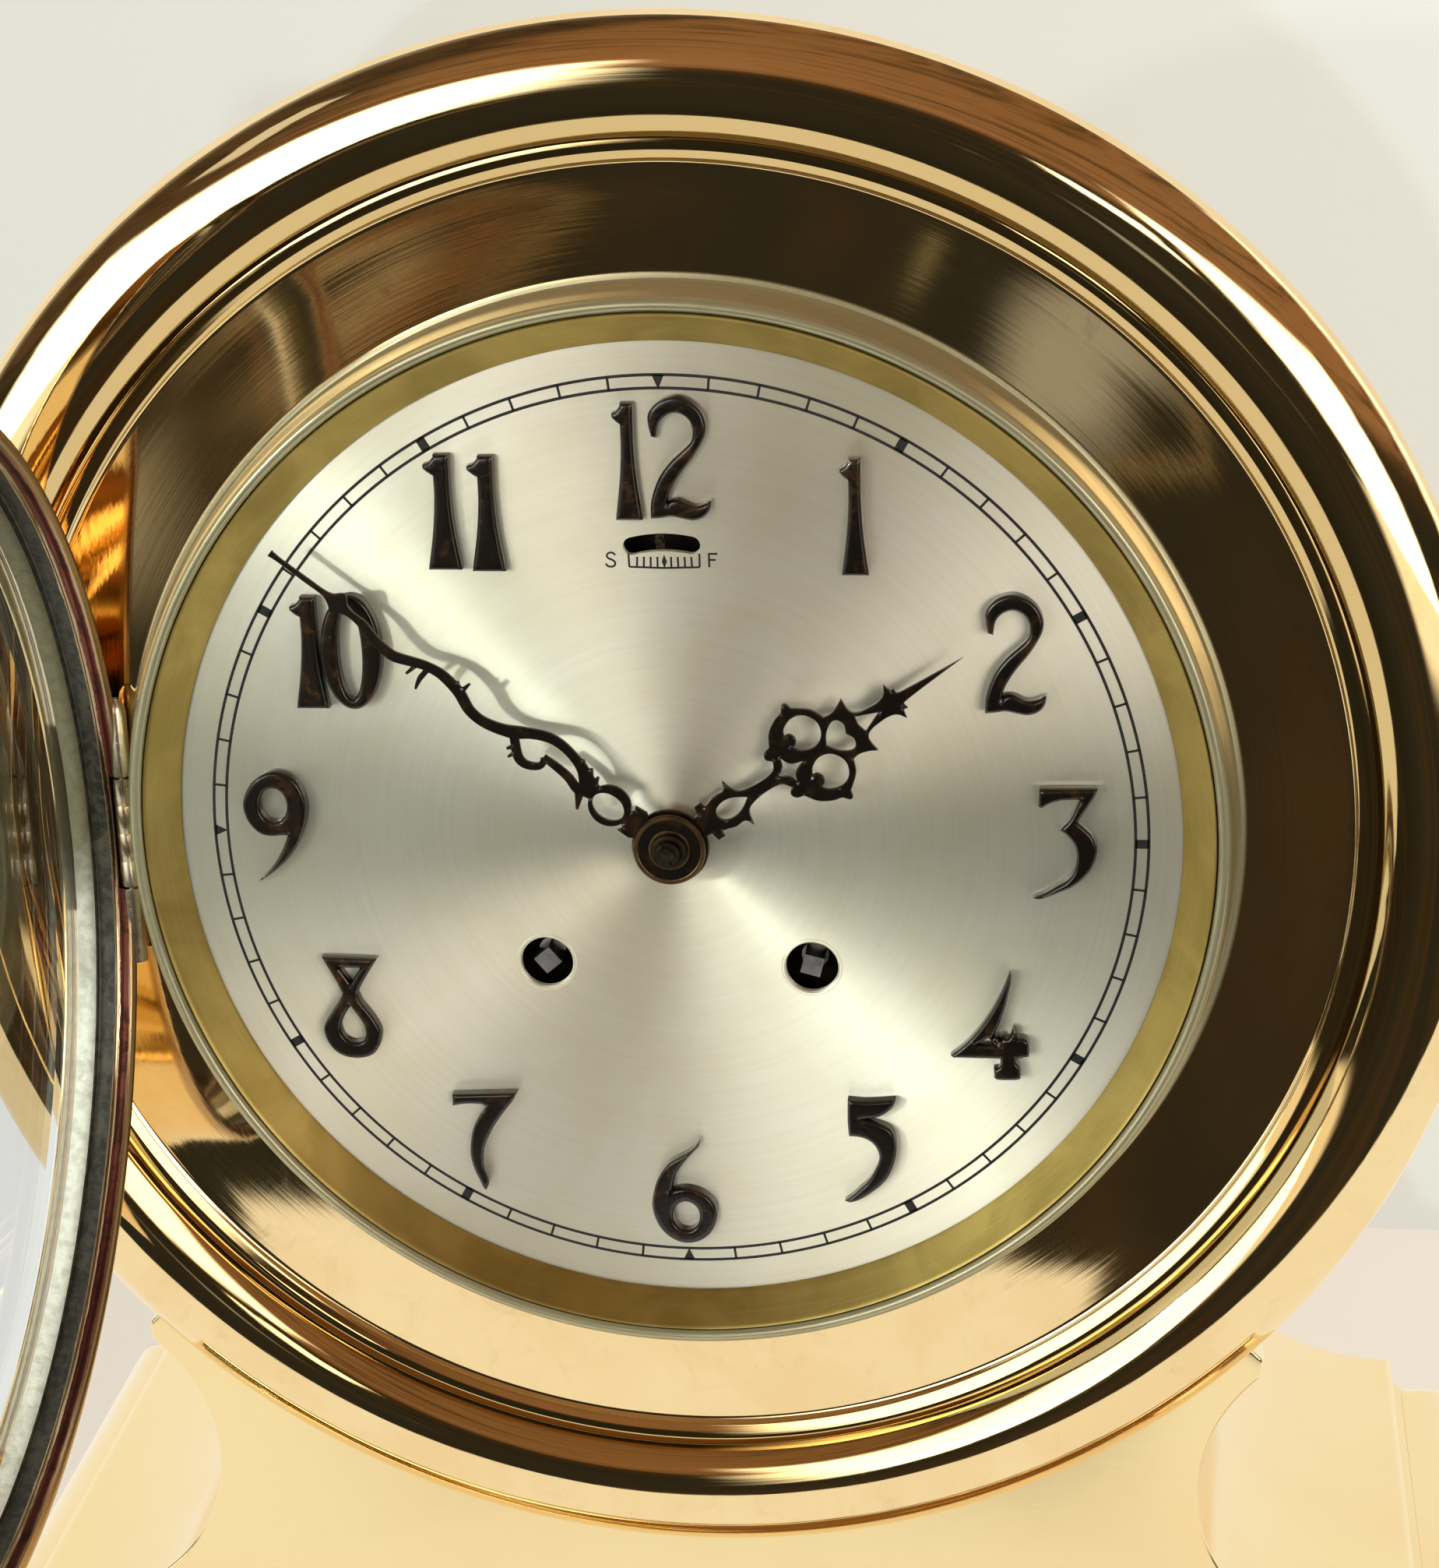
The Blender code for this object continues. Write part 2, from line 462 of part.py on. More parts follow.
def circle(radius, steps, centre=(0.0, 0.0), second=None):
    """Return the points of a full circle or ellipse."""
    return arc(radius, 0.0, 360.0 - 360.0 / steps, steps - 1, centre, second)


def smooth(points, longest):
    """Return a closed outline that runs smoothly through the points and has corners at those marked C."""
    count = len(points)
    result = []
    for i, point in enumerate(points):
        ahead = points[(i + 1) % count]
        sharp = (len(point) > 2, len(ahead) > 2)
        start = Vector(point[:2])
        end = Vector(ahead[:2])
        chord = end - start
        before = Vector(points[i - 1][:2])
        after = Vector(points[(i + 2) % count][:2])
        lean_in = chord if sharp[0] else (end - before) * chord.length / max((end - before).length, 0.001)
        lean_out = chord if sharp[1] else (after - start) * chord.length / max((after - start).length, 0.001)
        steps = 1 if all(sharp) else max(1, round(chord.length / longest))
        for k in range(steps):
            t = k / steps
            result.append(tuple(start * (2 * t ** 3 - 3 * t ** 2 + 1) + lean_in * (t ** 3 - 2 * t ** 2 + t)
                                + end * (3 * t ** 2 - 2 * t ** 3) + lean_out * (t ** 3 - t ** 2)))
    return result


def strand(points):
    """Return the outline of a strip along (across, along, width) points."""
    sides = ([], [])
    for i, point in enumerate(points):
        before = Vector(points[max(i - 1, 0)][:2])
        after = Vector(points[min(i + 1, len(points) - 1)][:2])
        along = (after - before).normalized()
        across = Vector((-along.y, along.x)) * point[2] / 2
        sides[0].append(tuple(Vector(point[:2]) + across))
        sides[1].append(tuple(Vector(point[:2]) - across))
    return sides[0] + sides[1][::-1]


def slab(solids, holes, front, back):
    """Return a plate between two depths. It is the union of the solid outlines less the hole outlines."""
    points = []
    loops = []
    for outline in list(solids) + list(holes):
        ring = [Vector(point) for point in outline]
        if sum(here.cross(there) for here, there in zip(ring, ring[1:] + ring[:1])) < 0:
            ring.reverse()
        loops.append([len(points) + i for i in range(len(ring))])
        points.extend(ring)
    verts, _, faces, _, _, sources = delaunay_2d_cdt(points, [], loops, 0, 0.0005)
    kept = []
    for face, source in zip(faces, sources):
        if any(i < len(solids) for i in source) and not any(i >= len(solids) for i in source):
            kept.append(face)
    mesh = bmesh.new()
    used = sorted({i for face in kept for i in face})
    near = {i: mesh.verts.new((verts[i][0], front, verts[i][1])) for i in used}
    far = {i: mesh.verts.new((verts[i][0], back, verts[i][1])) for i in used}
    edges = {}
    for face in kept:
        mesh.faces.new([near[i] for i in face])
        mesh.faces.new([far[i] for i in reversed(face)])
        for i in range(len(face)):
            pair = (face[i], face[(i + 1) % len(face)])
            edges[pair] = True
    for a, b in edges:
        if (b, a) not in edges:
            mesh.faces.new([near[b], near[a], far[a], far[b]])
    return mesh


def turned(profile, segments, centre=(0.0, 0.0), upright=False):
    """Return the solid that a closed profile of (radius, place along the axis) makes. The axis runs front to back
    through an (x, z) centre or, when upright, through an (x, y) centre."""
    mesh = bmesh.new()
    rings = []
    for radius, along in profile:
        ring = []
        for k in range(1 if radius == 0 else segments):
            angle = 2 * math.pi * k / segments
            a = centre[0] + radius * math.sin(angle)
            b = centre[1] + radius * math.cos(angle)
            ring.append(mesh.verts.new((a, b, along) if upright else (a, along, b)))
        rings.append(ring)
    for here, there in zip(rings, rings[1:] + rings[:1]):
        if len(here) == 1 and len(there) == 1:
            continue
        for k in range(segments):
            corners = [here[k % len(here)], here[(k + 1) % len(here)], there[(k + 1) % len(there)],
                       there[k % len(there)]]
            mesh.faces.new(list(dict.fromkeys(corners)))
    bmesh.ops.recalc_face_normals(mesh, faces=mesh.faces)
    return mesh


def rod(radius, start, end, segments, centre=(0.0, 0.0), upright=False):
    """Return a plain cylinder."""
    return turned(((0.0, start), (radius, start), (radius, end), (0.0, end)), segments, centre, upright)


def tube(inner, outer, start, end, segments, centre=(0.0, 0.0), upright=False):
    """Return a plain tube."""
    return turned(((inner, start), (outer, start), (outer, end), (inner, end)), segments, centre, upright)


def block(low, high):
    """Return a box between two corners."""
    mesh = bmesh.new()
    bmesh.ops.create_cube(mesh, size=1.0)
    for vert in mesh.verts:
        for axis in range(3):
            vert.co[axis] = high[axis] if vert.co[axis] > 0 else low[axis]
    return mesh


def combine(mesh, tools, operation):
    """Return the exact boolean of a bmesh with a list of others."""
    things = []
    for part in [mesh] + tools:
        bmesh.ops.recalc_face_normals(part, faces=part.faces)
        data = bpy.data.meshes.new("tool")
        part.to_mesh(data)
        part.free()
        thing = bpy.data.objects.new("tool", data)
        bpy.context.scene.collection.objects.link(thing)
        things.append(thing)
    for tool in things[1:]:
        step = things[0].modifiers.new("step", "BOOLEAN")
        step.operation = operation
        step.solver = "EXACT"
        step.object = tool
    bpy.context.view_layer.update()
    result = bmesh.new()
    result.from_object(things[0], bpy.context.evaluated_depsgraph_get())
    for thing in things:
        data = thing.data
        bpy.data.objects.remove(thing, do_unlink=True)
        bpy.data.meshes.remove(data)
    return result


def union(mesh, *tools):
    """Return the union of solids."""
    return combine(mesh, list(tools), "UNION")


def cut(mesh, *tools):
    """Return a solid less the others."""
    return combine(mesh, list(tools), "DIFFERENCE")


def gear(teeth, module, centre, phase):
    """Return the outline of a wheel with slim pointed teeth. The phase is the angle of one tooth, clockwise."""
    pitch_r = teeth * module / 2
    pitch = 360.0 / teeth
    outline = []
    for i in range(teeth):
        middle = phase + i * pitch
        outline.append(polar(pitch_r - ROOT * module, middle - 0.36 * pitch, centre))
        outline.append(polar(pitch_r + TIP * module, middle, centre))
        outline.append(polar(pitch_r - ROOT * module, middle + 0.36 * pitch, centre))
    return outline


def meshed(teeth, phase, bearing, follower):
    """Return the phase that puts a follower's gap on a wheel's tooth, with the follower's centre at a bearing."""
    offset = ((bearing - phase) * teeth / 360.0) % 1.0
    return bearing + 180.0 + (offset - 0.5) * 360.0 / follower


def between(start, end, near, far):
    """Return the third corner of a triangle with two known corners and the distances to them, on its left side."""
    first = Vector(start)
    line = Vector(end) - first
    along = (near ** 2 - far ** 2 + line.length ** 2) / (2 * line.length)
    away = math.sqrt(near ** 2 - along ** 2)
    side = Vector((line.y, -line.x)) / line.length
    return tuple(first + line * along / line.length + side * away)


def bearing_of(start, end):
    """Return the direction from one point to another, clockwise from straight up."""
    return math.degrees(math.atan2(end[0] - start[0], end[1] - start[1]))


TRAIN_AT = between((0.0, 0.0), (-WIND_X, WIND_Z), TRAIN_GAP, GREAT_GAP)
TIME_AT = (-WIND_X, WIND_Z)
STRIKE_AT = (WIND_X, WIND_Z)
MINUTE_WHEEL_AT = (MOTION_GAP, 0.0)
BALANCE_AT = (0.0, BALANCE_Z)
BELL_AT = (0.0, BELL_Z)
HAMMER_AT = (HAMMER_X, HAMMER_Z)
HINGE = (HINGE_X, HINGE_Y, 0.0)


def rounded_box_ring(half_x, half_y, radius):
    """Return one level of a rectangle with rounded corners."""
    points = []
    for start, sx, sy in ((0.0, 1, 1), (90.0, 1, -1), (180.0, -1, -1), (270.0, -1, 1)):
        points += arc(radius, start, start + 90.0, 2, (sx * (half_x - radius), sy * (half_y - radius)))
    return points


def stacked(levels):
    """Return the solid through levels of (ring of (x, y) points, world height), closed at both ends."""
    mesh = bmesh.new()
    rings = []
    for ring, height in levels:
        rings.append([mesh.verts.new((x, y - DIAL_Y, height - DIAL_Z)) for x, y in ring])
    mesh.faces.new(rings[0])
    mesh.faces.new(rings[-1])
    for here, there in zip(rings, rings[1:]):
        for k in range(len(here)):
            after = (k + 1) % len(here)
            mesh.faces.new([here[k], here[after], there[after], there[k]])
    return mesh


def build_base():
    """Felt, plinth and the two screws that hold the plinth to the pedestal."""
    spread = PLINTH_HALF_X - PLINTH_HALF_Y

    def level(inset, height, radius=PLINTH_CORNER_R):
        half = PLINTH_HALF_X - inset
        return (rounded_box_ring(half, half - spread, radius), height)

    body("base_felt", stacked([level(FELT_IN, 0.0), level(FELT_IN, FELT_T)]), "felt", (0.0, -DIAL_Y, -DIAL_Z))
    low = FELT_T + SEAT
    face = low + PLINTH_FACE_H
    edge = PLINTH_TOP - PLINTH_EDGE_H
    levels = [level(PLINTH_BEVEL, low), level(0.0, low + PLINTH_BEVEL), level(0.0, face - PLINTH_BEVEL),
              level(PLINTH_BEVEL, face), level(OVOLO_OUT, face)]
    for x, z in arc(OVOLO_IN - OVOLO_OUT, 90.0, 0.0, 6, (0.0, 0.0), edge - face - PLINTH_FILLET):
        levels.append(level(OVOLO_IN - x, face + PLINTH_FILLET + z))
    levels += [level(PLINTH_EDGE_IN, edge), level(PLINTH_EDGE_IN, PLINTH_TOP)]
    hollow = stacked([level(PLINTH_WALL, low - 1.0), level(PLINTH_WALL, PLINTH_ROOF)])
    holes = []
    for x in (-PLINTH_SCREW_X, PLINTH_SCREW_X):
        holes.append(rod(PLINTH_SCREW_R + SEAT, PLINTH_ROOF - DIAL_Z - 1.0, PLINTH_TOP - DIAL_Z + 1.0, 16,
                         (x, -DIAL_Y), True))
    body("base_plinth", cut(stacked(levels), hollow, *holes), "pale_brass", (0.0, -DIAL_Y, -DIAL_Z))
    for name, x in (("plinth_screw_left", -PLINTH_SCREW_X), ("plinth_screw_right", PLINTH_SCREW_X)):
        top = PLINTH_ROOF - SEAT - DIAL_Z
        profile = ((0.0, top - PLINTH_SCREW_HEAD_T), (PLINTH_SCREW_HEAD_R - 0.8, top - PLINTH_SCREW_HEAD_T),
                   (PLINTH_SCREW_HEAD_R, top - PLINTH_SCREW_HEAD_T + 0.8), (PLINTH_SCREW_HEAD_R, top),
                   (PLINTH_SCREW_R, top), (PLINTH_SCREW_R, PEDESTAL_BASE + PLINTH_SCREW_REACH),
                   (0.0, PEDESTAL_BASE + PLINTH_SCREW_REACH))
        screw = turned(profile, 16, (x, -DIAL_Y), True)
        reach = PLINTH_SCREW_HEAD_R + 1.0
        slot = block((x - reach, -DIAL_Y - PLINTH_SCREW_SLOT / 2, top - PLINTH_SCREW_HEAD_T - 1.0),
                     (x + reach, -DIAL_Y + PLINTH_SCREW_SLOT / 2, top - PLINTH_SCREW_HEAD_T + PLINTH_SCREW_SLOT))
        body(name, cut(screw, slot), "steel", (x, -DIAL_Y, top))


def build_pedestal():
    """The hollow cast body that carries the case, and the two bolts that hold the case to it."""
    tip = polar(WING_R, 180.0 - CRADLE_ANGLE)
    reach = math.degrees(math.atan2((tip[0] - SIDE_X) / SIDE_A, (tip[1] - SIDE_Z) / (SIDE_Z - FOOT_Z)))
    side = arc(SIDE_A, reach - 4.0, -180.0, 12, (SIDE_X, SIDE_Z), SIDE_Z - FOOT_Z)
    right = [polar(WING_R - 2.0, 180.0 - CRADLE_ANGLE), polar(WING_R - 0.4, 180.0 - CRADLE_ANGLE + 0.3)]
    right += side + [(SHOULDER_HALF, FOOT_Z), (SHOULDER_HALF, PEDESTAL_BASE)]
    left = [(-x, z) for x, z in reversed(right)]
    cradle = arc(CRADLE_R, 180.0 + CRADLE_ANGLE, 180.0 - CRADLE_ANGLE, 20)
    front = PEDESTAL_Y
    back = PEDESTAL_Y + PEDESTAL_D
    solid = slab([cradle + right + left], [], front, back)
    half = SIDE_X - SIDE_A - NECK_WALL
    roof_r = CRADLE_R + CRADLE_WALL
    lean = math.degrees(math.asin(half / roof_r))
    roof = arc(roof_r, 180.0 + lean, 180.0 - lean, 12)
    hollow = slab([roof + [(half, PEDESTAL_BASE - 1.0), (-half, PEDESTAL_BASE - 1.0)]], [],
                  front + PEDESTAL_WALL, back - PEDESTAL_WALL)
    holes = []
    for y in CASE_BOLT_Y:
        holes.append(rod(CASE_BOLT_R + SEAT, -roof_r - 1.0, -CRADLE_R + 1.0, 16, (0.0, y), True))
    for x in (-PLINTH_SCREW_X, PLINTH_SCREW_X):
        holes.append(rod(PLINTH_SCREW_R + SEAT, PEDESTAL_BASE - 1.0, PEDESTAL_BASE + PLINTH_SCREW_REACH + 0.6, 16,
                         (x, -DIAL_Y), True))
    body("pedestal_body", cut(solid, hollow, *holes), "pale_brass", (0.0, -DIAL_Y, PEDESTAL_BASE))
    for name, y in zip(("case_bolt_front", "case_bolt_rear"), CASE_BOLT_Y):
        top = -roof_r - SEAT
        tip_z = -CRADLE_R + DRUM_WALL + CASE_BOLT_REACH
        head = slab([circle(CASE_BOLT_HEAD_R, 6)], [], 0.0, CASE_BOLT_HEAD_T)
        upright = Matrix.Translation((0.0, y, top)) @ Matrix.Rotation(math.pi / -2, 4, "X")
        bmesh.ops.transform(head, matrix=upright, verts=head.verts)
        shaft = rod(CASE_BOLT_R, top - 1.0, tip_z, 16, (0.0, y), True)
        body(name, union(head, shaft), "steel", (0.0, y, top))


def build_case():
    """Rim with ledge, collar, flat ring, bead and roll, then the drum, the back cover and its screws."""
    crest = COLLAR_IN_R + COLLAR_LIP
    profile = [(COLLAR_IN_R, LEDGE_Y), (COLLAR_IN_R, -REFLECTOR_H), (crest, -COLLAR_H),
               (COLLAR_OUT_R - COLLAR_TAPER, 0.45 - COLLAR_H), (COLLAR_OUT_R - COLLAR_DRAFT, -0.5),
               (COLLAR_OUT_R - 1.3, RING_Y - 1.0), (COLLAR_OUT_R - 0.9, RING_Y - 0.3),
               (COLLAR_OUT_R, RING_Y), (RING_R - 0.7, RING_Y), (RING_R, RING_Y - 0.5)]
    bead = arc(BEAD_W / 2, -60.0, 70.0, 2, (RING_R + BEAD_W / 2, RING_Y), -BEAD_H)
    groove = (RING_R + BEAD_W, RIM_BACK_Y)
    inner = arc(ROLL_CREST_R - groove[0], -90.0, 0.0, 4, (ROLL_CREST_R, groove[1]), -ROLL_CREST_H - groove[1])
    outer = arc(ROLL_R - ROLL_CREST_R, 0.0, 90.0, 6, (ROLL_CREST_R, 0.5), -ROLL_CREST_H - 0.5)
    profile += bead + inner + outer[1:]
    body_in_r = SPIGOT_R - SPIGOT_WALL
    web_back = RING_Y + RIM_WALL
    lip_r = FRONT_PLATE_R + SEAT
    profile += [(ROLL_R - 0.1, 2.2), (ROLL_R - 0.8, RIM_BACK_Y), (DRUM_R, RIM_BACK_Y), (DRUM_R, RIM_BODY_BACK),
                (SPIGOT_R, RIM_BODY_BACK), (SPIGOT_R, RIM_BODY_BACK + SPIGOT_L),
                (body_in_r, RIM_BODY_BACK + SPIGOT_L), (body_in_r, web_back), (lip_r + LIP_W, web_back),
                (lip_r + LIP_W, LEDGE_BACK_Y + LIP_L), (lip_r, LEDGE_BACK_Y + LIP_L), (lip_r, LEDGE_BACK_Y),
                (OPENING_R, LEDGE_BACK_Y), (OPENING_R, LEDGE_Y)]
    notch = block((HINGE_X - 6.0, -COLLAR_H - 2.0, -NOTCH_HALF), (NOTCH_X, RING_Y - 1.4, NOTCH_HALF))
    body("case_rim", cut(turned(profile, RING_STEPS), notch), "brass")

    inner_r = DRUM_R - DRUM_WALL
    flange_front = DRUM_BACK_Y - FLANGE_T
    profile = ((inner_r, DRUM_FRONT_Y), (DRUM_R, DRUM_FRONT_Y), (DRUM_R, DRUM_BACK_Y),
               (FLANGE_R, DRUM_BACK_Y), (FLANGE_R, flange_front), (inner_r, flange_front))
    drum = turned(profile, RING_STEPS)
    holes = []
    screws = [polar(COVER_SCREW_R, angle) for angle in COVER_SCREW_ANGLES]
    for place in screws:
        holes.append(rod(COVER_SCREW_SHAFT_R + SEAT, flange_front - 1.0, DRUM_BACK_Y + 1.0, 12, place))
    for y in CASE_BOLT_Y:
        holes.append(rod(CASE_BOLT_R + SEAT, -DRUM_R - 1.0, -DRUM_R + DRUM_WALL + 2.0, 16, (0.0, y), True))
    body("case_drum", cut(drum, *holes), "brass", (0.0, DRUM_FRONT_Y, 0.0))

    boss_r = FLANGE_R - SEAT
    cover = turned(((0.0, COVER_Y - FLANGE_T), (boss_r, COVER_Y - FLANGE_T), (boss_r, COVER_Y),
                    (DRUM_R, COVER_Y), (DRUM_R, COVER_Y + COVER_T - 0.8), (DRUM_R - 0.8, COVER_Y + COVER_T),
                    (0.0, COVER_Y + COVER_T)), RING_STEPS)
    holes = []
    for place in screws:
        holes.append(rod(COVER_SCREW_SHAFT_R + SEAT, COVER_Y - 1.0, COVER_Y + COVER_T + 1.0, 12, place))
    body("back_cover", cut(cover, *holes), "brass", (0.0, COVER_Y, 0.0))
    for i, place in enumerate(screws):
        seat = COVER_Y + COVER_T + SEAT
        profile = ((0.0, seat + COVER_SCREW_HEAD_T), (COVER_SCREW_HEAD_R * 0.6, seat + COVER_SCREW_HEAD_T - 0.3),
                   (COVER_SCREW_HEAD_R, seat + COVER_SCREW_HEAD_T - 1.4), (COVER_SCREW_HEAD_R, seat),
                   (COVER_SCREW_SHAFT_R, seat), (COVER_SCREW_SHAFT_R, seat - COVER_SCREW_L),
                   (0.0, seat - COVER_SCREW_L))
        slot = block((place[0] - 6.0, seat + COVER_SCREW_HEAD_T - 1.0, place[1] - 0.5),
                     (place[0] + 6.0, seat + COVER_SCREW_HEAD_T + 1.0, place[1] + 0.5))
        body(f"cover_screw_{i + 1}", cut(turned(profile, 12, place), slot), "steel", (place[0], seat, place[1]))


def build_dial():
    """Dial plate, sloping ring and numerals."""
    holes = [circle(WIND_HOLE_R, 24, TIME_AT), circle(WIND_HOLE_R, 24, STRIKE_AT),
             circle(HOUR_PIPE_R + PIPE_HOLE_GAP, 20)]
    low = -SLOT_HALF_ANGLE - SLOT_SKEW
    high = SLOT_HALF_ANGLE - SLOT_SKEW
    outer = arc(SLOT_R + SLOT_HALF_WIDTH, low, high, 6, BALANCE_AT)
    inner = arc(SLOT_R - SLOT_HALF_WIDTH, high, low, 6, BALANCE_AT)
    holes.append(outer + arc(SLOT_HALF_WIDTH, high + 45.0, high + 135.0, 2, polar(SLOT_R, high, BALANCE_AT))
                 + inner + arc(SLOT_HALF_WIDTH, low + 225.0, low + 315.0, 2, polar(SLOT_R, low, BALANCE_AT)))
    body("dial_plate", slab([circle(PLATE_R, RING_STEPS)], holes, 0.0, PLATE_T), "silvered")
    ring = ((OPENING_R, -SEAT), (PLATE_R, -SEAT), (PLATE_R, -REFLECTOR_H), (OPENING_R, -SEAT - REFLECTOR_EDGE))
    body("reflector_ring", turned(ring, RING_STEPS), "brass")

    wide_one = [(x * 1.25, *rest) for x, *rest in ONE]
    zero = [(x + 2.1, z) for x, z in circle(6.6, 24, (0.0, 0.0), 12.7)]
    zero_hole = circle(2.6, 20, (1.8, -0.2), 10.3)
    numerals = (
        ("numeral_1", ONE, (), (40.2, 71.5)),
        ("numeral_2", TWO, (), (72.0, 42.0)),
        ("numeral_3", THREE, (), (83.5, 1.0)),
        ("numeral_4", FOUR, (FOUR_HOLE,), (68.0, -41.5)),
        ("numeral_5", FIVE, (), (41.0, -71.5)),
        ("numeral_6", SIX, (circle(3.0, 14, (0.0, -5.9), 3.5),), (0.0, -83.0)),
        ("numeral_7", SEVEN, (), (-44.0, -71.5)),
        ("numeral_8", EIGHT, (EIGHT_TOP, EIGHT_LOW), (-72.5, -39.5)),
        ("numeral_9", NINE, (circle(3.0, 14, (-0.9, 5.2), 3.9),), (-86.0, 1.5)),
        ("numeral_10_one", wide_one, (), (-76.3, 41.3)),
        ("numeral_10_zero", zero, (zero_hole,), (-69.5, 41.5)),
        ("numeral_11_left", wide_one, (), (-45.8, 72.2)),
        ("numeral_11_right", wide_one, (), (-36.5, 71.9)),
        ("numeral_12_one", ONE, (), (-6.5, 83.1)),
        ("numeral_12_two", TWO, (), (3.2, 83.6)),
    )
    for name, outline, inside, centre in numerals:
        shapes = []
        for shape in (outline, *inside):
            shapes.append([(x + centre[0], z + centre[1]) for x, z in smooth(shape, OUTLINE_STEP)])
        body(name, slab(shapes[:1], shapes[1:], -SEAT - NUMERAL_T, -SEAT), "dark", (centre[0], 0.0, centre[1]))


def turned_flat(outline, degrees):
    """Return an (across, along) outline turned clockwise about the dial's centre."""
    angle = math.radians(degrees)
    return [(x * math.cos(angle) + z * math.sin(angle), z * math.cos(angle) - x * math.sin(angle))
            for x, z in outline]


def build_hands():
    """Hands with their fittings, and the motion work behind the dial."""
    edge = smooth(HOUR_EDGE + tuple((-x, *rest) for x, *rest in reversed(HOUR_EDGE[1:])), OUTLINE_STEP)
    left_ring = [(-x, *rest) for x, *rest in reversed(HOUR_RING)]
    pierced = (HOUR_SLOT, HOUR_HEART, HOUR_RING, left_ring, HOUR_DIAMOND, HOUR_DROP)
    holes = [smooth(shape, OUTLINE_STEP) for shape in pierced]
    solids = [turned_flat(shape, HOUR_ANGLE) for shape in (edge, circle(HOUR_HUB_R, 28))]
    holes = [turned_flat(shape, HOUR_ANGLE) for shape in holes]
    holes.append(circle(HOUR_PIPE_R + SEAT, 16))
    body("hour_hand", slab(solids, holes, HOUR_HAND_Y, HOUR_HAND_Y + HOUR_HAND_T), "dark")

    shapes = [strand(MINUTE_STEM), strand(MINUTE_LEFT), strand(MINUTE_INNER)]
    shapes += [strand(leaf) for leaf in MINUTE_LEAVES]
    shapes += [[point[:2] for point in MINUTE_BLOCK], circle(4.6, 18, (0.2, 15.8), 4.7), circle(MINUTE_HUB_R, 28)]
    shapes = [turned_flat(shape, MINUTE_ANGLE) for shape in shapes]
    loop = turned_flat(circle(2.7, 14, (-0.2, 15.9), 3.7), MINUTE_ANGLE)
    body("minute_hand", slab(shapes, [loop, circle(CANNON_R + SEAT, 16)], MINUTE_HAND_Y,
                             MINUTE_HAND_Y + MINUTE_HAND_T), "dark")

    collet_front = MINUTE_HAND_Y - SEAT - COLLET_T
    collet = turned(((CANNON_IN_R, collet_front), (COLLET_R - 1.0, collet_front), (COLLET_R, collet_front + 0.5),
                     (COLLET_R, collet_front + COLLET_T), (CANNON_IN_R, collet_front + COLLET_T)), 20)
    body("hand_collet", collet, "brass")
    nut_back = collet_front - SEAT
    nut = tube(CANNON_IN_R, CANNON_IN_R + NUT_WALL, nut_back - NUT_T, nut_back, 12)
    slot = block((-6.0, nut_back - NUT_T - 1.0, -NUT_SLOT / 2), (6.0, nut_back - NUT_T + 0.5, NUT_SLOT / 2))
    body("hand_nut", cut(nut, slot), "brass")

    cannon_back = FRONT_PLATE_Y - CANNON_GAP
    cannon_front = cannon_back - CANNON_T
    cannon = slab([gear(CANNON_TEETH, CANNON_MODULE, (0.0, 0.0), 90.0)], [circle(CANNON_IN_R, 12)],
                  cannon_front, cannon_back)
    pipe = tube(CANNON_IN_R, CANNON_R, MINUTE_HAND_Y, cannon_front + 0.5, 16)
    bore = rod(CANNON_IN_R, MINUTE_HAND_Y - 1.0, cannon_back + 1.0, 12)
    body("cannon_pinion", cut(union(cannon, pipe), bore), "steel")

    wheel_phase = meshed(CANNON_TEETH, 90.0, 90.0, MINUTE_WHEEL_TEETH)
    wheel_front = cannon_front + WHEEL_SHAKE
    pinion_front = LEDGE_Y + WHEEL_SHAKE
    wheel = slab([gear(MINUTE_WHEEL_TEETH, CANNON_MODULE, MINUTE_WHEEL_AT, wheel_phase)],
                 [circle(STUD_R + RUN, 12, MINUTE_WHEEL_AT)], wheel_front, wheel_front + MINUTE_WHEEL_T)
    pinion = slab([gear(MINUTE_PINION_TEETH, HOUR_MODULE, MINUTE_WHEEL_AT, 90.0)],
                  [circle(STUD_R + RUN, 12, MINUTE_WHEEL_AT)], pinion_front, wheel_front + WHEEL_SHAKE)
    body("minute_wheel", union(wheel, pinion), "brass", (MINUTE_WHEEL_AT[0], 0.0, MINUTE_WHEEL_AT[1]))

    hour_phase = meshed(MINUTE_PINION_TEETH, 90.0, 270.0, HOUR_WHEEL_TEETH)
    hour_front = pinion_front + WHEEL_SHAKE
    hour = slab([gear(HOUR_WHEEL_TEETH, HOUR_MODULE, (0.0, 0.0), hour_phase)], [circle(HOUR_PIPE_IN_R, 16)],
                hour_front, hour_front + HOUR_WHEEL_T)
    hour_pipe = tube(HOUR_PIPE_IN_R, HOUR_PIPE_R, HOUR_HAND_Y, hour_front + 0.4, 16)
    bore = rod(HOUR_PIPE_IN_R, HOUR_HAND_Y - 1.0, hour_front + HOUR_WHEEL_T + 1.0, 16)
    body("hour_wheel", cut(union(hour, hour_pipe), bore), "brass")

    hub_y = (pinion_front, pinion_front + LEVER_T)
    root = (*polar(1.0, LEVER_ANGLE, BALANCE_AT), LEVER_ROOT_W)
    arm = strand((root, (*polar(SLOT_R + 1.0, LEVER_ANGLE, BALANCE_AT), LEVER_TIP_W)))
    lever = slab([circle(LEVER_HUB_R, 16, BALANCE_AT), arm], [circle(STUD_R + RUN, 12, BALANCE_AT)], *hub_y)
    tongue = rod(TONGUE_R, TONGUE_Y, pinion_front + 0.5, 10, polar(SLOT_R, LEVER_ANGLE, BALANCE_AT))
    body("regulator_lever", union(lever, tongue), "brass", (BALANCE_AT[0], 0.0, BALANCE_AT[1]))


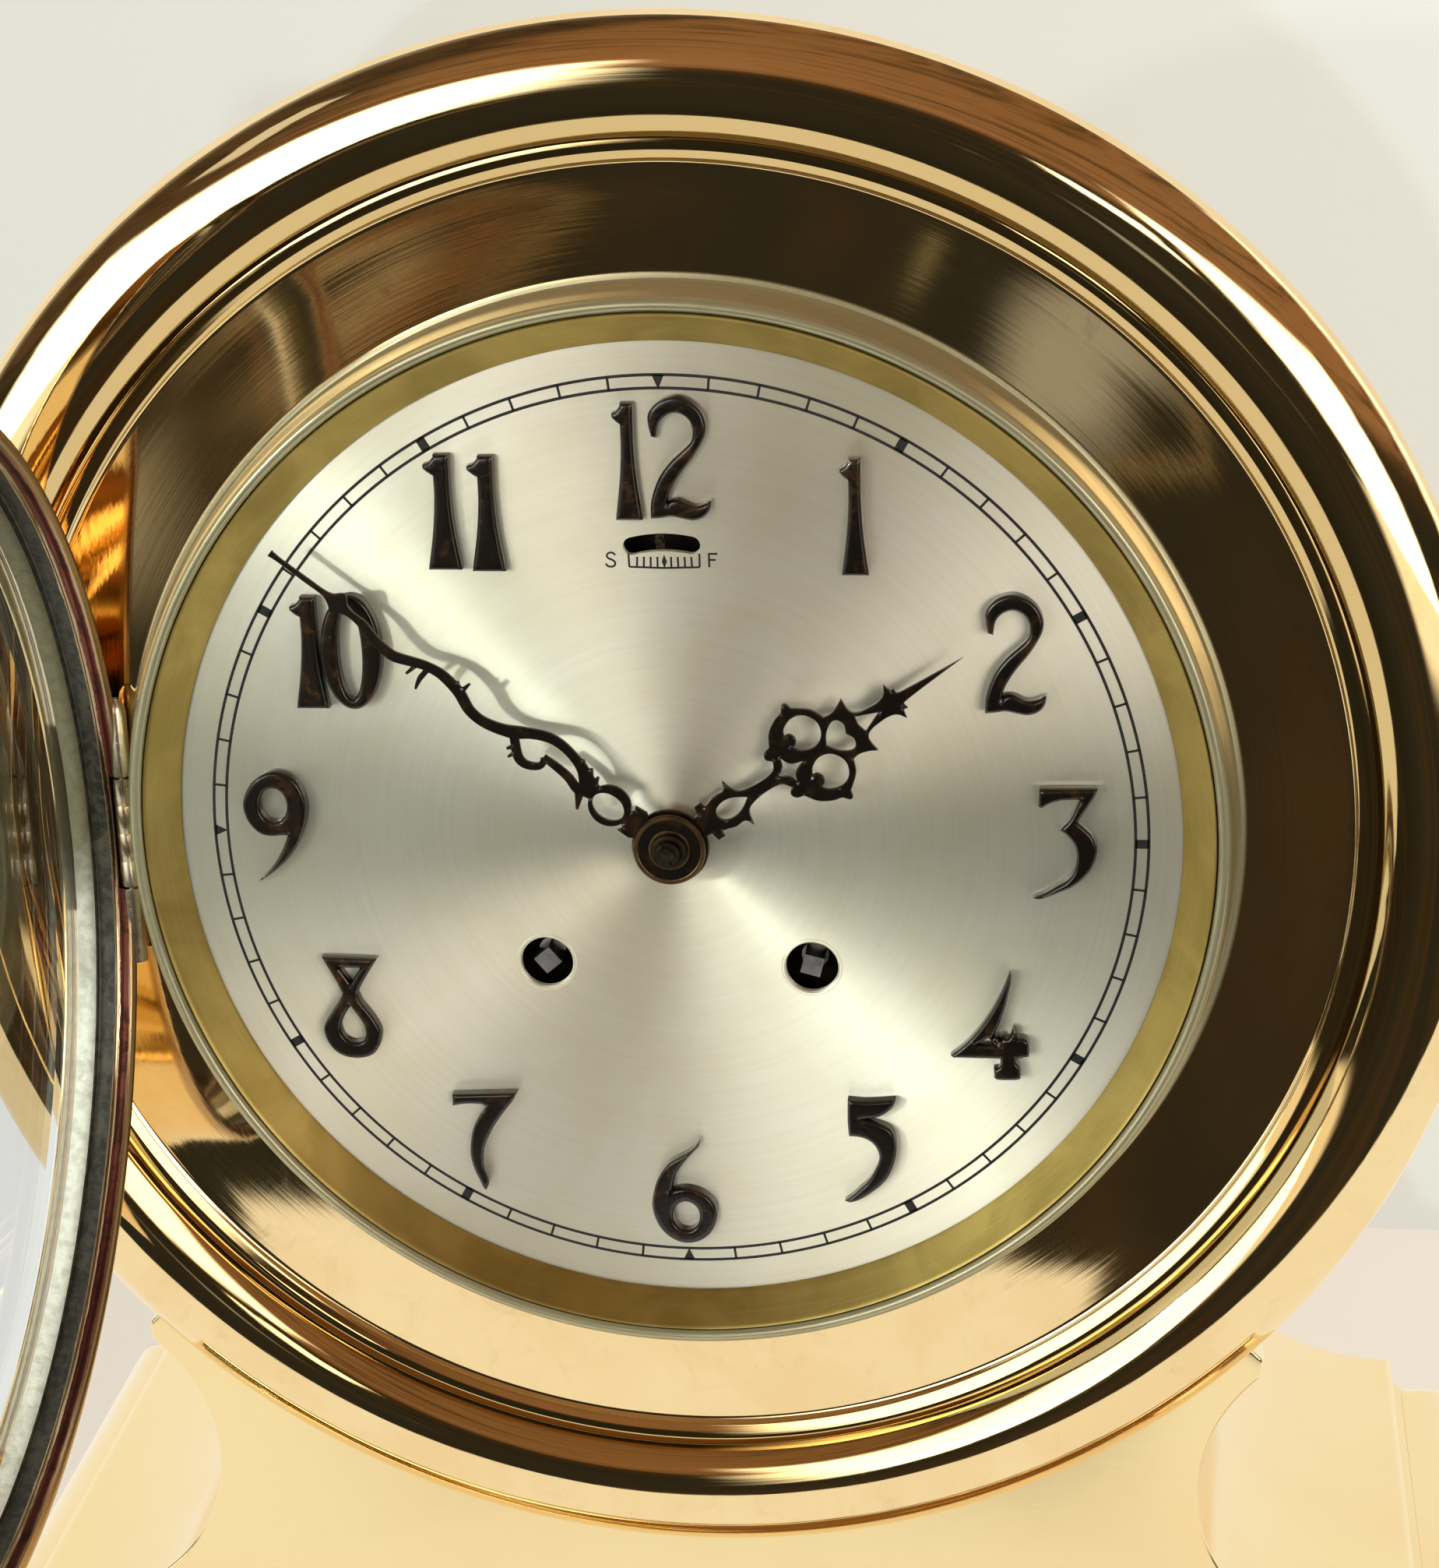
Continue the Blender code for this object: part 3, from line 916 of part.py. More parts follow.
def build_movement():
    """Plates, pillars, trains, balance, bell and hammer."""
    stud_front = LEDGE_Y + 0.1
    holes = [circle(ARBOR_R + RUN, 12), circle(TRAIN_ARBOR_R + RUN, 12, TRAIN_AT),
             circle(STAFF_R + RUN, 10, BALANCE_AT), circle(TRAIN_ARBOR_R + RUN, 12, HAMMER_AT)]
    bores = [circle(WIND_ARBOR_R + RUN, 16, TIME_AT), circle(WIND_ARBOR_R + RUN, 16, STRIKE_AT)]
    front = slab([circle(FRONT_PLATE_R, 40)], holes[:2] + holes[3:] + bores, FRONT_PLATE_Y, FRONT_PLATE_BACK)
    staff_hole = rod(STAFF_R + RUN, FRONT_PLATE_BACK - STAFF_IN - 0.4, FRONT_PLATE_BACK + 1.0, 10, BALANCE_AT)
    studs = [rod(STUD_R, stud_front, FRONT_PLATE_Y + 0.5, 12, MINUTE_WHEEL_AT),
             rod(STUD_R, stud_front, FRONT_PLATE_Y + 0.5, 12, BALANCE_AT)]
    body("movement_front_plate", cut(union(front, *studs), staff_hole), "brass", (0.0, FRONT_PLATE_Y, 0.0))
    bores = [circle(WIND_PIVOT_R + RUN, 14, TIME_AT), circle(WIND_PIVOT_R + RUN, 14, STRIKE_AT)]
    body("movement_back_plate", slab([circle(BACK_PLATE_R, 32)], holes + bores, BACK_PLATE_Y, BACK_PLATE_BACK),
         "brass", (0.0, BACK_PLATE_Y, 0.0))
    for i, place in enumerate(PILLAR_PLACES):
        low = FRONT_PLATE_BACK + SEAT
        high = BACK_PLATE_Y - SEAT
        profile = ((0.0, low), (PILLAR_R, low), (PILLAR_R, low + 3.0), (PILLAR_R - 0.8, low + 4.0),
                   (PILLAR_R - 0.8, high - 4.0), (PILLAR_R, high - 3.0), (PILLAR_R, high), (0.0, high))
        body(f"movement_pillar_{i + 1}", turned(profile, 10, place), "brass", (place[0], low, place[1]))

    nut_front = MINUTE_HAND_Y - SEAT - COLLET_T - SEAT - NUT_T
    pinion = slab([gear(CENTRE_PINION_TEETH, TRAIN_MODULE, (0.0, 0.0), 0.0)], [],
                  TRAIN_Y - PINION_OVERHANG, TRAIN_Y + TRAIN_T + PINION_OVERHANG)
    arbor = rod(ARBOR_R, nut_front - 0.1, PIVOT_END, 16)
    body("centre_arbor", union(arbor, pinion), "steel")

    bearing = bearing_of((0.0, 0.0), TRAIN_AT)
    phase = meshed(CENTRE_PINION_TEETH, 0.0, bearing, TRAIN_TEETH)
    wheel = slab([gear(TRAIN_TEETH, TRAIN_MODULE, TRAIN_AT, phase)], [], TRAIN_Y, TRAIN_Y + TRAIN_T)
    leaves = slab([gear(TRAIN_PINION_TEETH, GREAT_MODULE, TRAIN_AT, 0.0)], [],
                  GREAT_Y - LEAF_OVERHANG, GREAT_Y + GREAT_T + LEAF_OVERHANG)
    arbor = rod(TRAIN_ARBOR_R, PIVOT_FRONT, PIVOT_END, 12, TRAIN_AT)
    body("train_wheel", union(arbor, wheel, leaves), "brass", (TRAIN_AT[0], TRAIN_Y, TRAIN_AT[1]))

    time_phase = meshed(TRAIN_PINION_TEETH, 0.0, bearing_of(TRAIN_AT, TIME_AT), GREAT_TEETH)
    for name, place, phase in (("time_barrel", TIME_AT, time_phase), ("strike_barrel", STRIKE_AT, 0.0)):
        bore_r = WIND_ARBOR_R + RUN
        great = slab([gear(GREAT_TEETH, GREAT_MODULE, place, phase)], [circle(bore_r, 16, place)],
                     GREAT_Y, GREAT_Y + GREAT_T)
        back = GREAT_Y + GREAT_T + BARREL_L
        wall = tube(BARREL_R - BARREL_WALL, BARREL_R, GREAT_Y + GREAT_T - 0.5, back, 24, place)
        body(name, union(great, wall), "brass", (place[0], GREAT_Y, place[1]))
    for name, place, angle in (("time_arbor", TIME_AT, TIME_SQUARE_ANGLE),
                               ("strike_arbor", STRIKE_AT, STRIKE_SQUARE_ANGLE)):
        shoulder = BACK_PLATE_Y - WIND_SHAKE
        tip = FRONT_PLATE_Y - WIND_PROUD
        profile = ((0.0, tip), (WIND_ARBOR_R, tip), (WIND_ARBOR_R, shoulder), (WIND_PIVOT_R, shoulder),
                   (WIND_PIVOT_R, PIVOT_END), (0.0, PIVOT_END))
        round_part = turned(profile, 16, place)
        corner = WIND_SQUARE / math.sqrt(2.0)
        square = [polar(corner, 45.0 - angle + 90.0 * k, place) for k in range(4)]
        body(name, union(round_part, slab([square], [], WIND_SQUARE_Y, FRONT_PLATE_Y)), "steel",
             (place[0], WIND_SQUARE_Y, place[1]))

    rim = BALANCE_R - BALANCE_RIM
    arm = strand(((-rim - 0.5, BALANCE_Z, BALANCE_ARM_W), (rim + 0.5, BALANCE_Z, BALANCE_ARM_W)))
    disc = slab([circle(BALANCE_R, 24, BALANCE_AT)], [circle(rim, 24, BALANCE_AT)],
                BALANCE_Y, BALANCE_Y + BALANCE_T)
    bar = slab([arm, circle(BALANCE_HUB_R, 16, BALANCE_AT)], [], BALANCE_Y + BALANCE_ARM_IN,
               BALANCE_Y + BALANCE_T - BALANCE_ARM_IN)
    staff = rod(STAFF_R, FRONT_PLATE_BACK - STAFF_IN, PIVOT_END, 10, BALANCE_AT)
    body("balance_wheel", union(disc, bar, staff), "brass", (BALANCE_AT[0], BALANCE_Y, BALANCE_AT[1]))

    post_top = BELL_Y + BELL_H - BELL_T - SEAT
    hole_r = POST_R * 0.65 + SEAT
    outer = arc(BELL_R, 90.0, 8.0, 5, (0.0, BELL_Y), BELL_H)
    inner = arc(BELL_R - BELL_T, 8.0, 90.0, 5, (0.0, BELL_Y), BELL_H - BELL_T)
    bell = turned([*outer, (hole_r, BELL_Y + BELL_H), (hole_r, BELL_Y + BELL_H - BELL_T), *inner], 24, BELL_AT)
    body("bell", bell, "bell_metal", (BELL_AT[0], BELL_Y, BELL_AT[1]))
    foot = BACK_PLATE_BACK + SEAT
    post = turned(((0.0, foot), (POST_FOOT_R, foot), (POST_FOOT_R, foot + 2.0), (POST_R, foot + 3.0),
                   (POST_R, post_top), (hole_r - SEAT, post_top), (hole_r - SEAT, BELL_Y + BELL_H + 2.0),
                   (0.0, BELL_Y + BELL_H + 2.4)), 16, BELL_AT)
    body("bell_post", post, "steel", (BELL_AT[0], foot, BELL_AT[1]))

    head_at = (BELL_AT[0] + HAMMER_HEAD_X, BELL_AT[1])
    arm_front = BACK_PLATE_BACK + HAMMER_OFF
    bar = strand(((*HAMMER_AT, HAMMER_ARM_W), (*head_at, HAMMER_ARM_W)))
    arm = slab([bar, circle(HAMMER_HUB_R, 16, HAMMER_AT)], [], arm_front, arm_front + HAMMER_ARM_T)
    head = rod(HAMMER_HEAD_R, arm_front - 0.4, BELL_Y + 6.0, 16, head_at)
    pivot = rod(TRAIN_ARBOR_R, PIVOT_FRONT, arm_front + HAMMER_ARM_T + 0.6, 12, HAMMER_AT)
    body("hammer", union(arm, head, pivot), "steel", (HAMMER_AT[0], arm_front, HAMMER_AT[1]))


def build_bezel():
    """The hinged glass, open, with its hinge. Its pieces are drawn closed and then turned about the pin."""
    out_r = SKIRT_IN_R + SKIRT_WALL
    lip = GLASS_BACK_H + GLASS_T + SEAT
    front = lip + LIP_T
    step_r = SKIRT_IN_R - SKIRT_STEP
    profile = [(SKIRT_IN_R + 1.7, -SKIRT_BACK_H), (SKIRT_IN_R, -SKIRT_BACK_H - 0.9),
               (SKIRT_IN_R, -SHOULDER_H + 3.9), (step_r, -SHOULDER_H + 3.8), (step_r, -SHOULDER_H),
               (BEZEL_SHOULDER_R, -SHOULDER_H), (BEZEL_SHOULDER_R, -lip), (LIP_IN_R, -lip),
               (LIP_IN_R + 0.1, -lip - 0.9)]
    profile += arc((out_r - LIP_IN_R) / 2 - 0.1, -70.0, 90.0, 5, ((out_r + LIP_IN_R) / 2 + 0.1, -lip + 1.0),
                   lip - 1.0 - front)
    profile += [(out_r, -SKIRT_BACK_H - 0.9), (out_r - 0.7, -SKIRT_BACK_H - 0.2)]
    axis = (HINGE_X, HINGE_Y)
    ring = turned(profile, RING_STEPS)
    low = KNUCKLE_LOW - KNUCKLE_GAP
    high = KNUCKLE_HIGH + KNUCKLE_GAP
    knuckles = [rod(KNUCKLE_R, high, high + BEZEL_KNUCKLE_L, 14, axis, True),
                rod(KNUCKLE_R, low - BEZEL_KNUCKLE_L, low, 14, axis, True)]
    bore = rod(PIN_R + RUN, low - BEZEL_KNUCKLE_L - 1.0, high + BEZEL_KNUCKLE_L + 1.0, 12, axis, True)
    gap_r = KNUCKLE_R + KNUCKLE_GAP
    gap = [rod(gap_r, low, high, 14, axis, True),
           block((HINGE_X - 8.0, HINGE_Y - gap_r, low), (HINGE_X, HINGE_Y + 3.0, high))]
    ring = cut(union(ring, *knuckles), bore, *gap)
    body("bezel_ring", ring, "brass", HINGE, -OPEN_ANGLE)

    glass_front = -GLASS_BACK_H - GLASS_T
    bevel_r = LIP_IN_R - GLASS_BEVEL
    glass = turned(((0.0, -GLASS_BACK_H), (GLASS_R, -GLASS_BACK_H), (GLASS_R, glass_front),
                    (LIP_IN_R, glass_front), (bevel_r, glass_front - GLASS_BEVEL_H),
                    (0.0, glass_front - GLASS_BEVEL_H)), RING_STEPS)
    body("bezel_glass", glass, "glass", HINGE, -OPEN_ANGLE)
    bed_front = -GLASS_BACK_H + SEAT
    bedding = turned(((GLASS_R, -SHOULDER_H - SEAT), (GLASS_R, bed_front), (BEDDING_IN_R, bed_front),
                      (BEDDING_IN_R, bed_front + 0.5)), RING_STEPS)
    body("glass_bedding", bedding, "plaster", HINGE, -OPEN_ANGLE)

    catch_r = SKIRT_IN_R - SKIRT_STEP - SEAT
    leaf = arc(catch_r, 90.0 - CATCH_HALF_ANGLE, 90.0 + CATCH_HALF_ANGLE, 4)
    leaf += arc(catch_r - CATCH_T, 90.0 + CATCH_HALF_ANGLE, 90.0 - CATCH_HALF_ANGLE, 4)
    front = CATCH_OFF - SHOULDER_H
    body("bezel_catch", slab([leaf], [], front, front + CATCH_L), "steel", HINGE, -OPEN_ANGLE)

    barrel = rod(KNUCKLE_R, KNUCKLE_LOW, KNUCKLE_HIGH, 14, axis, True)
    foot = block((HINGE_X - 0.7, HINGE_Y - 0.9, KNUCKLE_LOW), (NOTCH_X - SEAT, RING_Y - 1.4 - SEAT, KNUCKLE_HIGH))
    bore = rod(PIN_R + RUN, KNUCKLE_LOW - 1.0, KNUCKLE_HIGH + 1.0, 12, axis, True)
    body("hinge_knuckle", cut(union(barrel, foot), bore), "nickel", HINGE)
    pin = rod(PIN_R, low - BEZEL_KNUCKLE_L, high + BEZEL_KNUCKLE_L, 12, axis, True)
    body("hinge_pin", pin, "steel", HINGE)


clear_file()
build_base()
build_pedestal()
build_case()
build_dial()
build_hands()
build_movement()
build_bezel()
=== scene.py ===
"""Looks of the pedestal clock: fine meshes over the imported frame, their materials, the camera and the light.

Sizes are in millimetres until a mesh is made. A point of the clock is (x, y, z) from the dial's centre: x to
the right, z up, y to the rear of the dial's face.
"""
import json
import math

import bmesh
import bpy
import numpy as np
from mathutils import Matrix, Vector, noise
from mathutils.geometry import delaunay_2d_cdt


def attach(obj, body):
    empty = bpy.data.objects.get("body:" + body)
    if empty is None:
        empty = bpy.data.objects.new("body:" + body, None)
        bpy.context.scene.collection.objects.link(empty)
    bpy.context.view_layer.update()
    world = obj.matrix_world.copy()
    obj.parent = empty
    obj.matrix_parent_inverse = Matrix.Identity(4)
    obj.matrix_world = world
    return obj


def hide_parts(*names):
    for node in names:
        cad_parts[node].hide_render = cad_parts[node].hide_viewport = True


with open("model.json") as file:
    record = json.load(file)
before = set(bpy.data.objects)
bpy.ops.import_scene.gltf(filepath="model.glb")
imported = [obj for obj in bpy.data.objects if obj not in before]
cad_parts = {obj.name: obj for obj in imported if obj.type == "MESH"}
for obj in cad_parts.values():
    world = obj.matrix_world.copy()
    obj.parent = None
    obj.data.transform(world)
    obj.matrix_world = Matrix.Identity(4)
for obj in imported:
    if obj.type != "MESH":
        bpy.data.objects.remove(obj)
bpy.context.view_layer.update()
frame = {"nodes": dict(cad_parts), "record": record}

MM = 0.001
C = True  # marks a sharp point in an outline, the other points are smooth
SEAT = 0.3  # gap between pieces that touch
ROUND_STEPS = 256
TURNED_CREASE = 24.0
FITTING_CREASE = 28.0
BASE_CREASE = 30.0
CAST_CREASE = 40.0
HOUR_BEVEL = 0.22
MINUTE_BEVEL = 0.16
RELIEF_STEP = 0.4
RELIEF_GRID = 0.7
RELIEF_ROUNDS = 5

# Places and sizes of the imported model
DIAL_Y = -76.5
DIAL_Z = 258.0
PLATE_R = 115.0
PLATE_T = 1.6
OPENING_R = 108.0
REFLECTOR_H = 6.6
WIND_PLACES = ((-29.0, -29.6), (29.0, -29.6))
WIND_HOLE_R = 5.7
SLOT_CENTRE = (0.0, 38.0)
SLOT_R = 27.3
SLOT_HALF_ANGLE = 13.2
SLOT_HALF_WIDTH = 1.9
SLOT_SKEW = 1.05
PIPE_HOLE_R = 4.3
COLLAR_IN_R = 115.3
COLLAR_OUT_R = 120.9
COLLAR_H = 7.35
RING_Y = 4.2
RING_R = 144.2
BEAD_W = 4.3
BEAD_H = 2.1
ROLL_R = 174.0
ROLL_CREST_R = 160.4
ROLL_CREST_H = 4.7
ROLL_BOW = 16.6
ROLL_IN_ANGLE = -40.2
ROLL_OUT_ANGLE = 50.0
RIM_BACK_Y = 3.7
LEDGE_Y = 1.9
RIM_BODY_BACK = 12.3
DRUM_R = 150.0
DRUM_WALL = 3.0
DRUM_FRONT_Y = 12.6
DRUM_BACK_Y = 141.0
COVER_Y = 141.3
COVER_T = 3.0
COVER_SCREW_R = 141.5
COVER_LINE_R = 71.2
COVER_SCREW_ANGLES = (20.0, 140.0, 260.0)
PEDESTAL_Y = 4.0
PEDESTAL_D = 145.0
CRADLE_ANGLE = 45.9
CRADLE_R = 150.3
WING_R = 179.0
SIDE_X = 164.5
SIDE_Z = -158.0
SIDE_A = 51.0
SHOULDER_HALF = 166.0
PEDESTAL_BASE = 47.0 - DIAL_Z
FOOT_Z = PEDESTAL_BASE + 9.0
PLINTH_HALF_X = 190.0
PLINTH_HALF_Y = 96.5
PLINTH_TOP = 46.7
PLINTH_FACE_H = 21.7
PLINTH_EDGE_H = 4.7
PLINTH_COVE_R = 16.0
HINGE = (-120.6, -0.5, 0.0)
KNUCKLE_R = 2.1
KNUCKLE_BORE_R = 0.9
NOTCH_X = -118.2
NOTCH_HALF = 14.5
OPEN_ANGLE = 91.15
HOUR_ANGLE = 55.6
MINUTE_ANGLE = 307.6

FELT_T = 2.0
SKIRT_IN_R = 120.2
SKIRT_WALL = 3.4
GLASS_SEAT_R = 118.6
GLASS_R = 118.3
GLASS_BACK_H = 12.0
GLASS_T = 4.0
GLASS_BEVEL = 6.0
BEVEL_H = 1.2
LIP_IN_R = 113.5
LIP_T = 3.7
BEDDING_IN_R = 115.3
KNUCKLE_LOW = -13.0
KNUCKLE_HIGH = 12.0
KNUCKLE_GAP = 0.5
BEZEL_KNUCKLE_L = 17.5
HOUR_HAND_Y = -6.2
HOUR_HAND_T = 1.0
HOUR_HUB_R = 8.3
MINUTE_HAND_Y = -8.2
MINUTE_HAND_T = 0.8
MINUTE_HUB_R = 7.8
HAND_SWELL = 1.25  # widens the strands of the minute hand
HAND_BORE_R = 1.8
HUB_BORE_R = 2.0
COLLET_R = 3.9
COLLET_T = 1.1
NUT_T = 1.1
NUT_SLOT = 0.7
NUMERAL_T = 2.7
NUMERAL_BEVEL = 0.75
SWEEP = 1.2  # how much the turned lines change on their way round

# Print on the dial
INK_H = 0.03
TRACK_R = 99.45
TRACK_HALF = 1.39
LINE_W = 0.64
TICK_SHARE = 0.42
BLOCK_HALF = 1.0
POINT_HALF = 1.3
SCALE_HALF = 7.4
SCALE_LINE_W = 0.42
SCALE_Z = 60.0
LETTER_S = ((-10.3, 62.5), (-10.8, 63.0), (-11.6, 63.0), (-12.1, 62.4), (-11.7, 61.8), (-11.0, 61.5),
            (-10.4, 61.0), (-10.5, 60.3), (-11.2, 60.0), (-12.0, 60.2), (-12.3, 60.7))
LETTER_F_STEM = ((9.4, 60.0), (9.4, 61.5), (9.4, 63.0))
LETTER_F_TOP = ((9.4, 62.9), (10.3, 62.9), (11.2, 62.9))
LETTER_F_BAR = ((9.4, 61.6), (10.1, 61.6), (10.8, 61.6))

# Studio, in metres. Polished metal mirrors a pale table as far as TABLE_EDGE_Y, then a dark room with pale
# windows. A window is (bearing, height, half width, half height) in degrees, seen from the clock, with its
# colour. A gleam is (x, y, half width, half length) on the far table, with its colour. A lamp has a name, a
# place, an aim, its size, power and colour.
WALL_Y = 0.26
WORLD_LIGHT = 0.66
TABLE_EDGE_Y = -0.3786
TABLE_SLANT = 0.12
TABLE_GLOW = (1.0, 0.99, 0.96)
ROOM_DARK = (0.026, 0.025, 0.019)
ROOM_BROWN = (0.052, 0.034, 0.019)
ROOM_COPPER = (0.34, 0.185, 0.10)
WINDOWS = (
    ((-37.0, 7.0, 25.0, 16.0), (4.0, 4.0, 3.8)),
    ((36.0, 4.0, 15.5, 15.0), (3.8, 3.55, 3.3)),
    ((11.5, 7.0, 3.5, 2.5), (3.6, 3.3, 2.8)),
    ((-60.0, 40.0, 6.0, 6.0), (0.8, 0.75, 0.70)),
    ((114.0, 18.0, 24.0, 24.0), (2.6, 2.5, 2.4)),
)
FAR_GLEAMS = (
    ((0.035, -1.66, 0.04, 0.22), (0.36, 0.36, 0.36)),
    ((0.09, -1.38, 0.05, 0.012), (0.30, 0.24, 0.15)),
    ((-0.08, -2.03, 0.006, 0.12), (0.22, 0.19, 0.13)),
    ((-0.485, -1.80, 0.018, 0.28), (0.34, 0.27, 0.18)),
    ((-0.445, -1.95, 0.010, 0.30), (0.26, 0.13, 0.06)),
    ((-0.40, -2.10, 0.012, 0.30), (0.20, 0.14, 0.08)),
)
LAMPS = (
    ("key", (-1.35, -1.60, 0.62), (0.0, -0.07, 0.25), (0.10, 0.10), 9.0, (0.95, 1.0, 1.0)),
    ("front", (-0.016, -2.07, 0.432), (0.0, -0.07, 0.25), (0.05, 0.05), 10.0, (0.74, 0.96, 1.0)),
)

# The photograph's camera, in the clock's coordinates, and the turn from looking straight along +y
CAMERA_AT = (103.0, -690.0, 260.0)
CAMERA_TURN = (19.68090644, 7.28409087, -0.46652029)
CAMERA_FOCAL_PX = 4466.1
PHOTO_SIZE = (1848, 2013)

# Outlines of the numerals about their own centres, and where each stands on the dial
TWO = ((-3.6, 4.5, C), (-4.7, 4.8, C), (-5.2, 7.2), (-5.2, 9.4), (-3.6, 11.7), (-1.4, 12.9), (1.1, 13.2),
       (3.6, 12.2), (5.7, 10.2), (6.7, 7.4), (6.5, 5.2), (5.4, 2.9), (3.6, 0.1), (1.4, -2.6), (-0.4, -5.3),
       (-1.6, -7.8), (-1.8, -9.3, C), (-0.9, -8.6), (0.6, -8.5), (2.0, -9.1), (3.6, -9.8), (5.4, -9.6),
       (7.4, -8.6, C), (7.0, -10.7), (5.7, -12.2), (3.6, -12.9), (1.4, -12.6), (-1.1, -12.1), (-3.2, -12.4),
       (-5.4, -12.6, C), (-5.2, -9.2), (-4.3, -6.0), (-2.9, -3.1), (-0.7, -0.3), (1.8, 2.0), (3.5, 3.8),
       (3.9, 5.8), (3.5, 7.7), (2.2, 9.2), (0.2, 9.8), (-1.8, 9.0), (-3.0, 7.6), (-3.5, 5.8))
ONE = ((-1.3, 12.3, C), (1.3, 12.3, C), (1.3, 3.0), (1.7, -4.0), (2.7, -12.4, C), (-3.0, -12.4, C),
       (-1.9, -4.0), (-1.4, 3.0), (-1.4, 7.8, C), (-2.4, 8.6), (-3.1, 9.4, C), (-3.1, 10.2, C), (-2.0, 10.8),
       (-1.3, 11.8, C))
THREE = ((-5.6, 11.8, C), (6.7, 12.0, C), (5.8, 10.0), (4.4, 7.7), (2.4, 4.5, C), (4.0, 3.2), (5.6, 1.5),
         (6.5, -0.9), (6.4, -3.0), (5.6, -5.5), (4.0, -7.8), (1.5, -10.0), (-1.4, -11.4), (-4.2, -12.6),
         (-5.8, -13.0), (-6.9, -12.7, C), (-4.6, -11.7), (-2.1, -10.1), (0.1, -8.7), (1.5, -6.9),
         (2.2, -4.8), (2.3, -2.6), (1.7, -0.5), (0.4, 1.3), (-1.3, 2.8, C), (0.8, 5.2), (2.9, 9.6, C),
         (0.8, 9.5), (-1.7, 9.2), (-3.7, 8.4), (-5.1, 7.5, C), (-5.8, 7.9, C))
FOUR = ((3.6, 12.5, C), (4.0, 10.9), (3.4, 7.7), (2.7, 4.5), (1.5, 0.9), (0.3, -1.7), (-0.2, -2.8, C),
        (0.4, -2.2), (1.2, -2.6), (1.7, -3.6, C), (2.0, -1.9, C), (2.6, -2.8), (3.4, -2.7), (4.0, -1.6),
        (4.3, -0.2, C), (4.9, -1.4), (5.0, -2.7, C), (6.3, -2.6), (7.5, -3.2), (7.8, -4.4), (7.8, -6.9, C),
        (5.0, -7.5, C), (5.1, -8.4), (5.8, -9.4), (6.0, -12.2, C), (4.9, -12.5), (0.9, -12.5),
        (0.3, -12.1, C), (0.2, -9.8, C), (1.3, -9.6), (1.7, -8.7), (1.6, -7.5, C), (-8.5, -7.5, C),
        (-9.1, -7.0, C), (-7.3, -5.5), (-4.8, -3.0), (-2.3, 0.2), (-0.1, 3.8), (1.8, 7.7), (3.1, 10.9))
FOUR_HOLE = ((-3.6, -4.4, C), (0.4, -4.4, C), (-0.9, -2.6, C))
FIVE = ((-4.6, 11.9, C), (-1.4, 11.6), (2.1, 11.8), (5.9, 12.2, C), (5.4, 10.6), (3.9, 9.0), (2.0, 7.9),
        (-0.4, 7.5), (-1.6, 7.3, C), (1.4, 6.6), (3.6, 5.7), (5.0, 4.5), (5.7, 2.4), (5.9, -0.1),
        (5.5, -2.6), (4.5, -5.5), (2.9, -8.0), (0.7, -10.1), (-2.1, -12.1), (-4.3, -12.9), (-5.6, -12.6, C),
        (-4.3, -11.6), (-2.5, -9.8), (-0.4, -7.6), (1.2, -4.8), (2.1, -2.3), (1.9, -0.5), (0.9, 1.3),
        (-0.7, 2.5), (-2.5, 3.0), (-4.5, 3.1, C), (-4.7, 7.0))
SIX = ((3.6, 12.9, C), (3.3, 11.2), (2.2, 9.9), (0.8, 8.3), (-0.6, 6.5), (-1.9, 4.4), (-2.6, 2.2),
       (-3.0, 0.2, C), (-1.0, 0.9), (1.5, 0.8), (4.2, -0.4), (6.2, -2.6), (6.9, -5.3), (6.2, -8.3),
       (4.6, -10.7), (2.2, -12.2), (-0.3, -12.6), (-2.8, -11.9), (-5.3, -9.9), (-6.9, -7.1), (-7.6, -3.9),
       (-7.4, -1.4), (-6.7, 1.5), (-5.6, 4.0), (-3.9, 6.5), (-2.1, 7.9), (0.4, 9.4), (2.2, 10.8))
SEVEN = ((-7.4, 10.8, C), (7.3, 11.6, C), (6.1, 9.4), (4.7, 7.6), (3.1, 5.4), (1.5, 2.9), (0.2, 0.4),
         (-0.7, -2.1), (-1.1, -4.9), (-1.0, -7.4), (-0.2, -10.6), (-0.9, -12.5, C), (-1.4, -12.0),
         (-2.3, -9.9), (-3.4, -7.1), (-4.0, -3.9), (-3.8, -0.6), (-3.1, 2.6), (-1.9, 5.1), (-0.7, 6.9),
         (0.0, 7.9, C), (-0.7, 8.5), (-2.6, 8.6), (-4.8, 8.5), (-7.4, 8.0, C))
EIGHT = ((-6.2, 11.0, C), (6.2, 10.8, C), (3.9, 7.2), (1.8, 3.6), (1.3, 2.4, C), (2.1, 0.4), (3.6, -1.7),
         (5.0, -3.9), (6.0, -6.2), (6.0, -8.0), (5.3, -10.3), (3.6, -12.2), (0.0, -13.0), (-3.6, -12.1),
         (-5.9, -9.6), (-6.8, -6.4), (-6.2, -4.2), (-4.6, -1.7), (-3.2, 0.4), (-2.1, 2.4, C), (-3.2, 5.1),
         (-5.0, 8.6))
EIGHT_TOP = ((-2.3, 8.6, C), (2.3, 8.6, C), (0.0, 4.9, C))
EIGHT_LOW = ((-0.4, -0.5, C), (2.1, -4.6), (2.6, -6.7), (2.0, -8.7), (0.0, -9.2), (-2.1, -8.1), (-3.0, -5.6),
             (-2.1, -3.1))
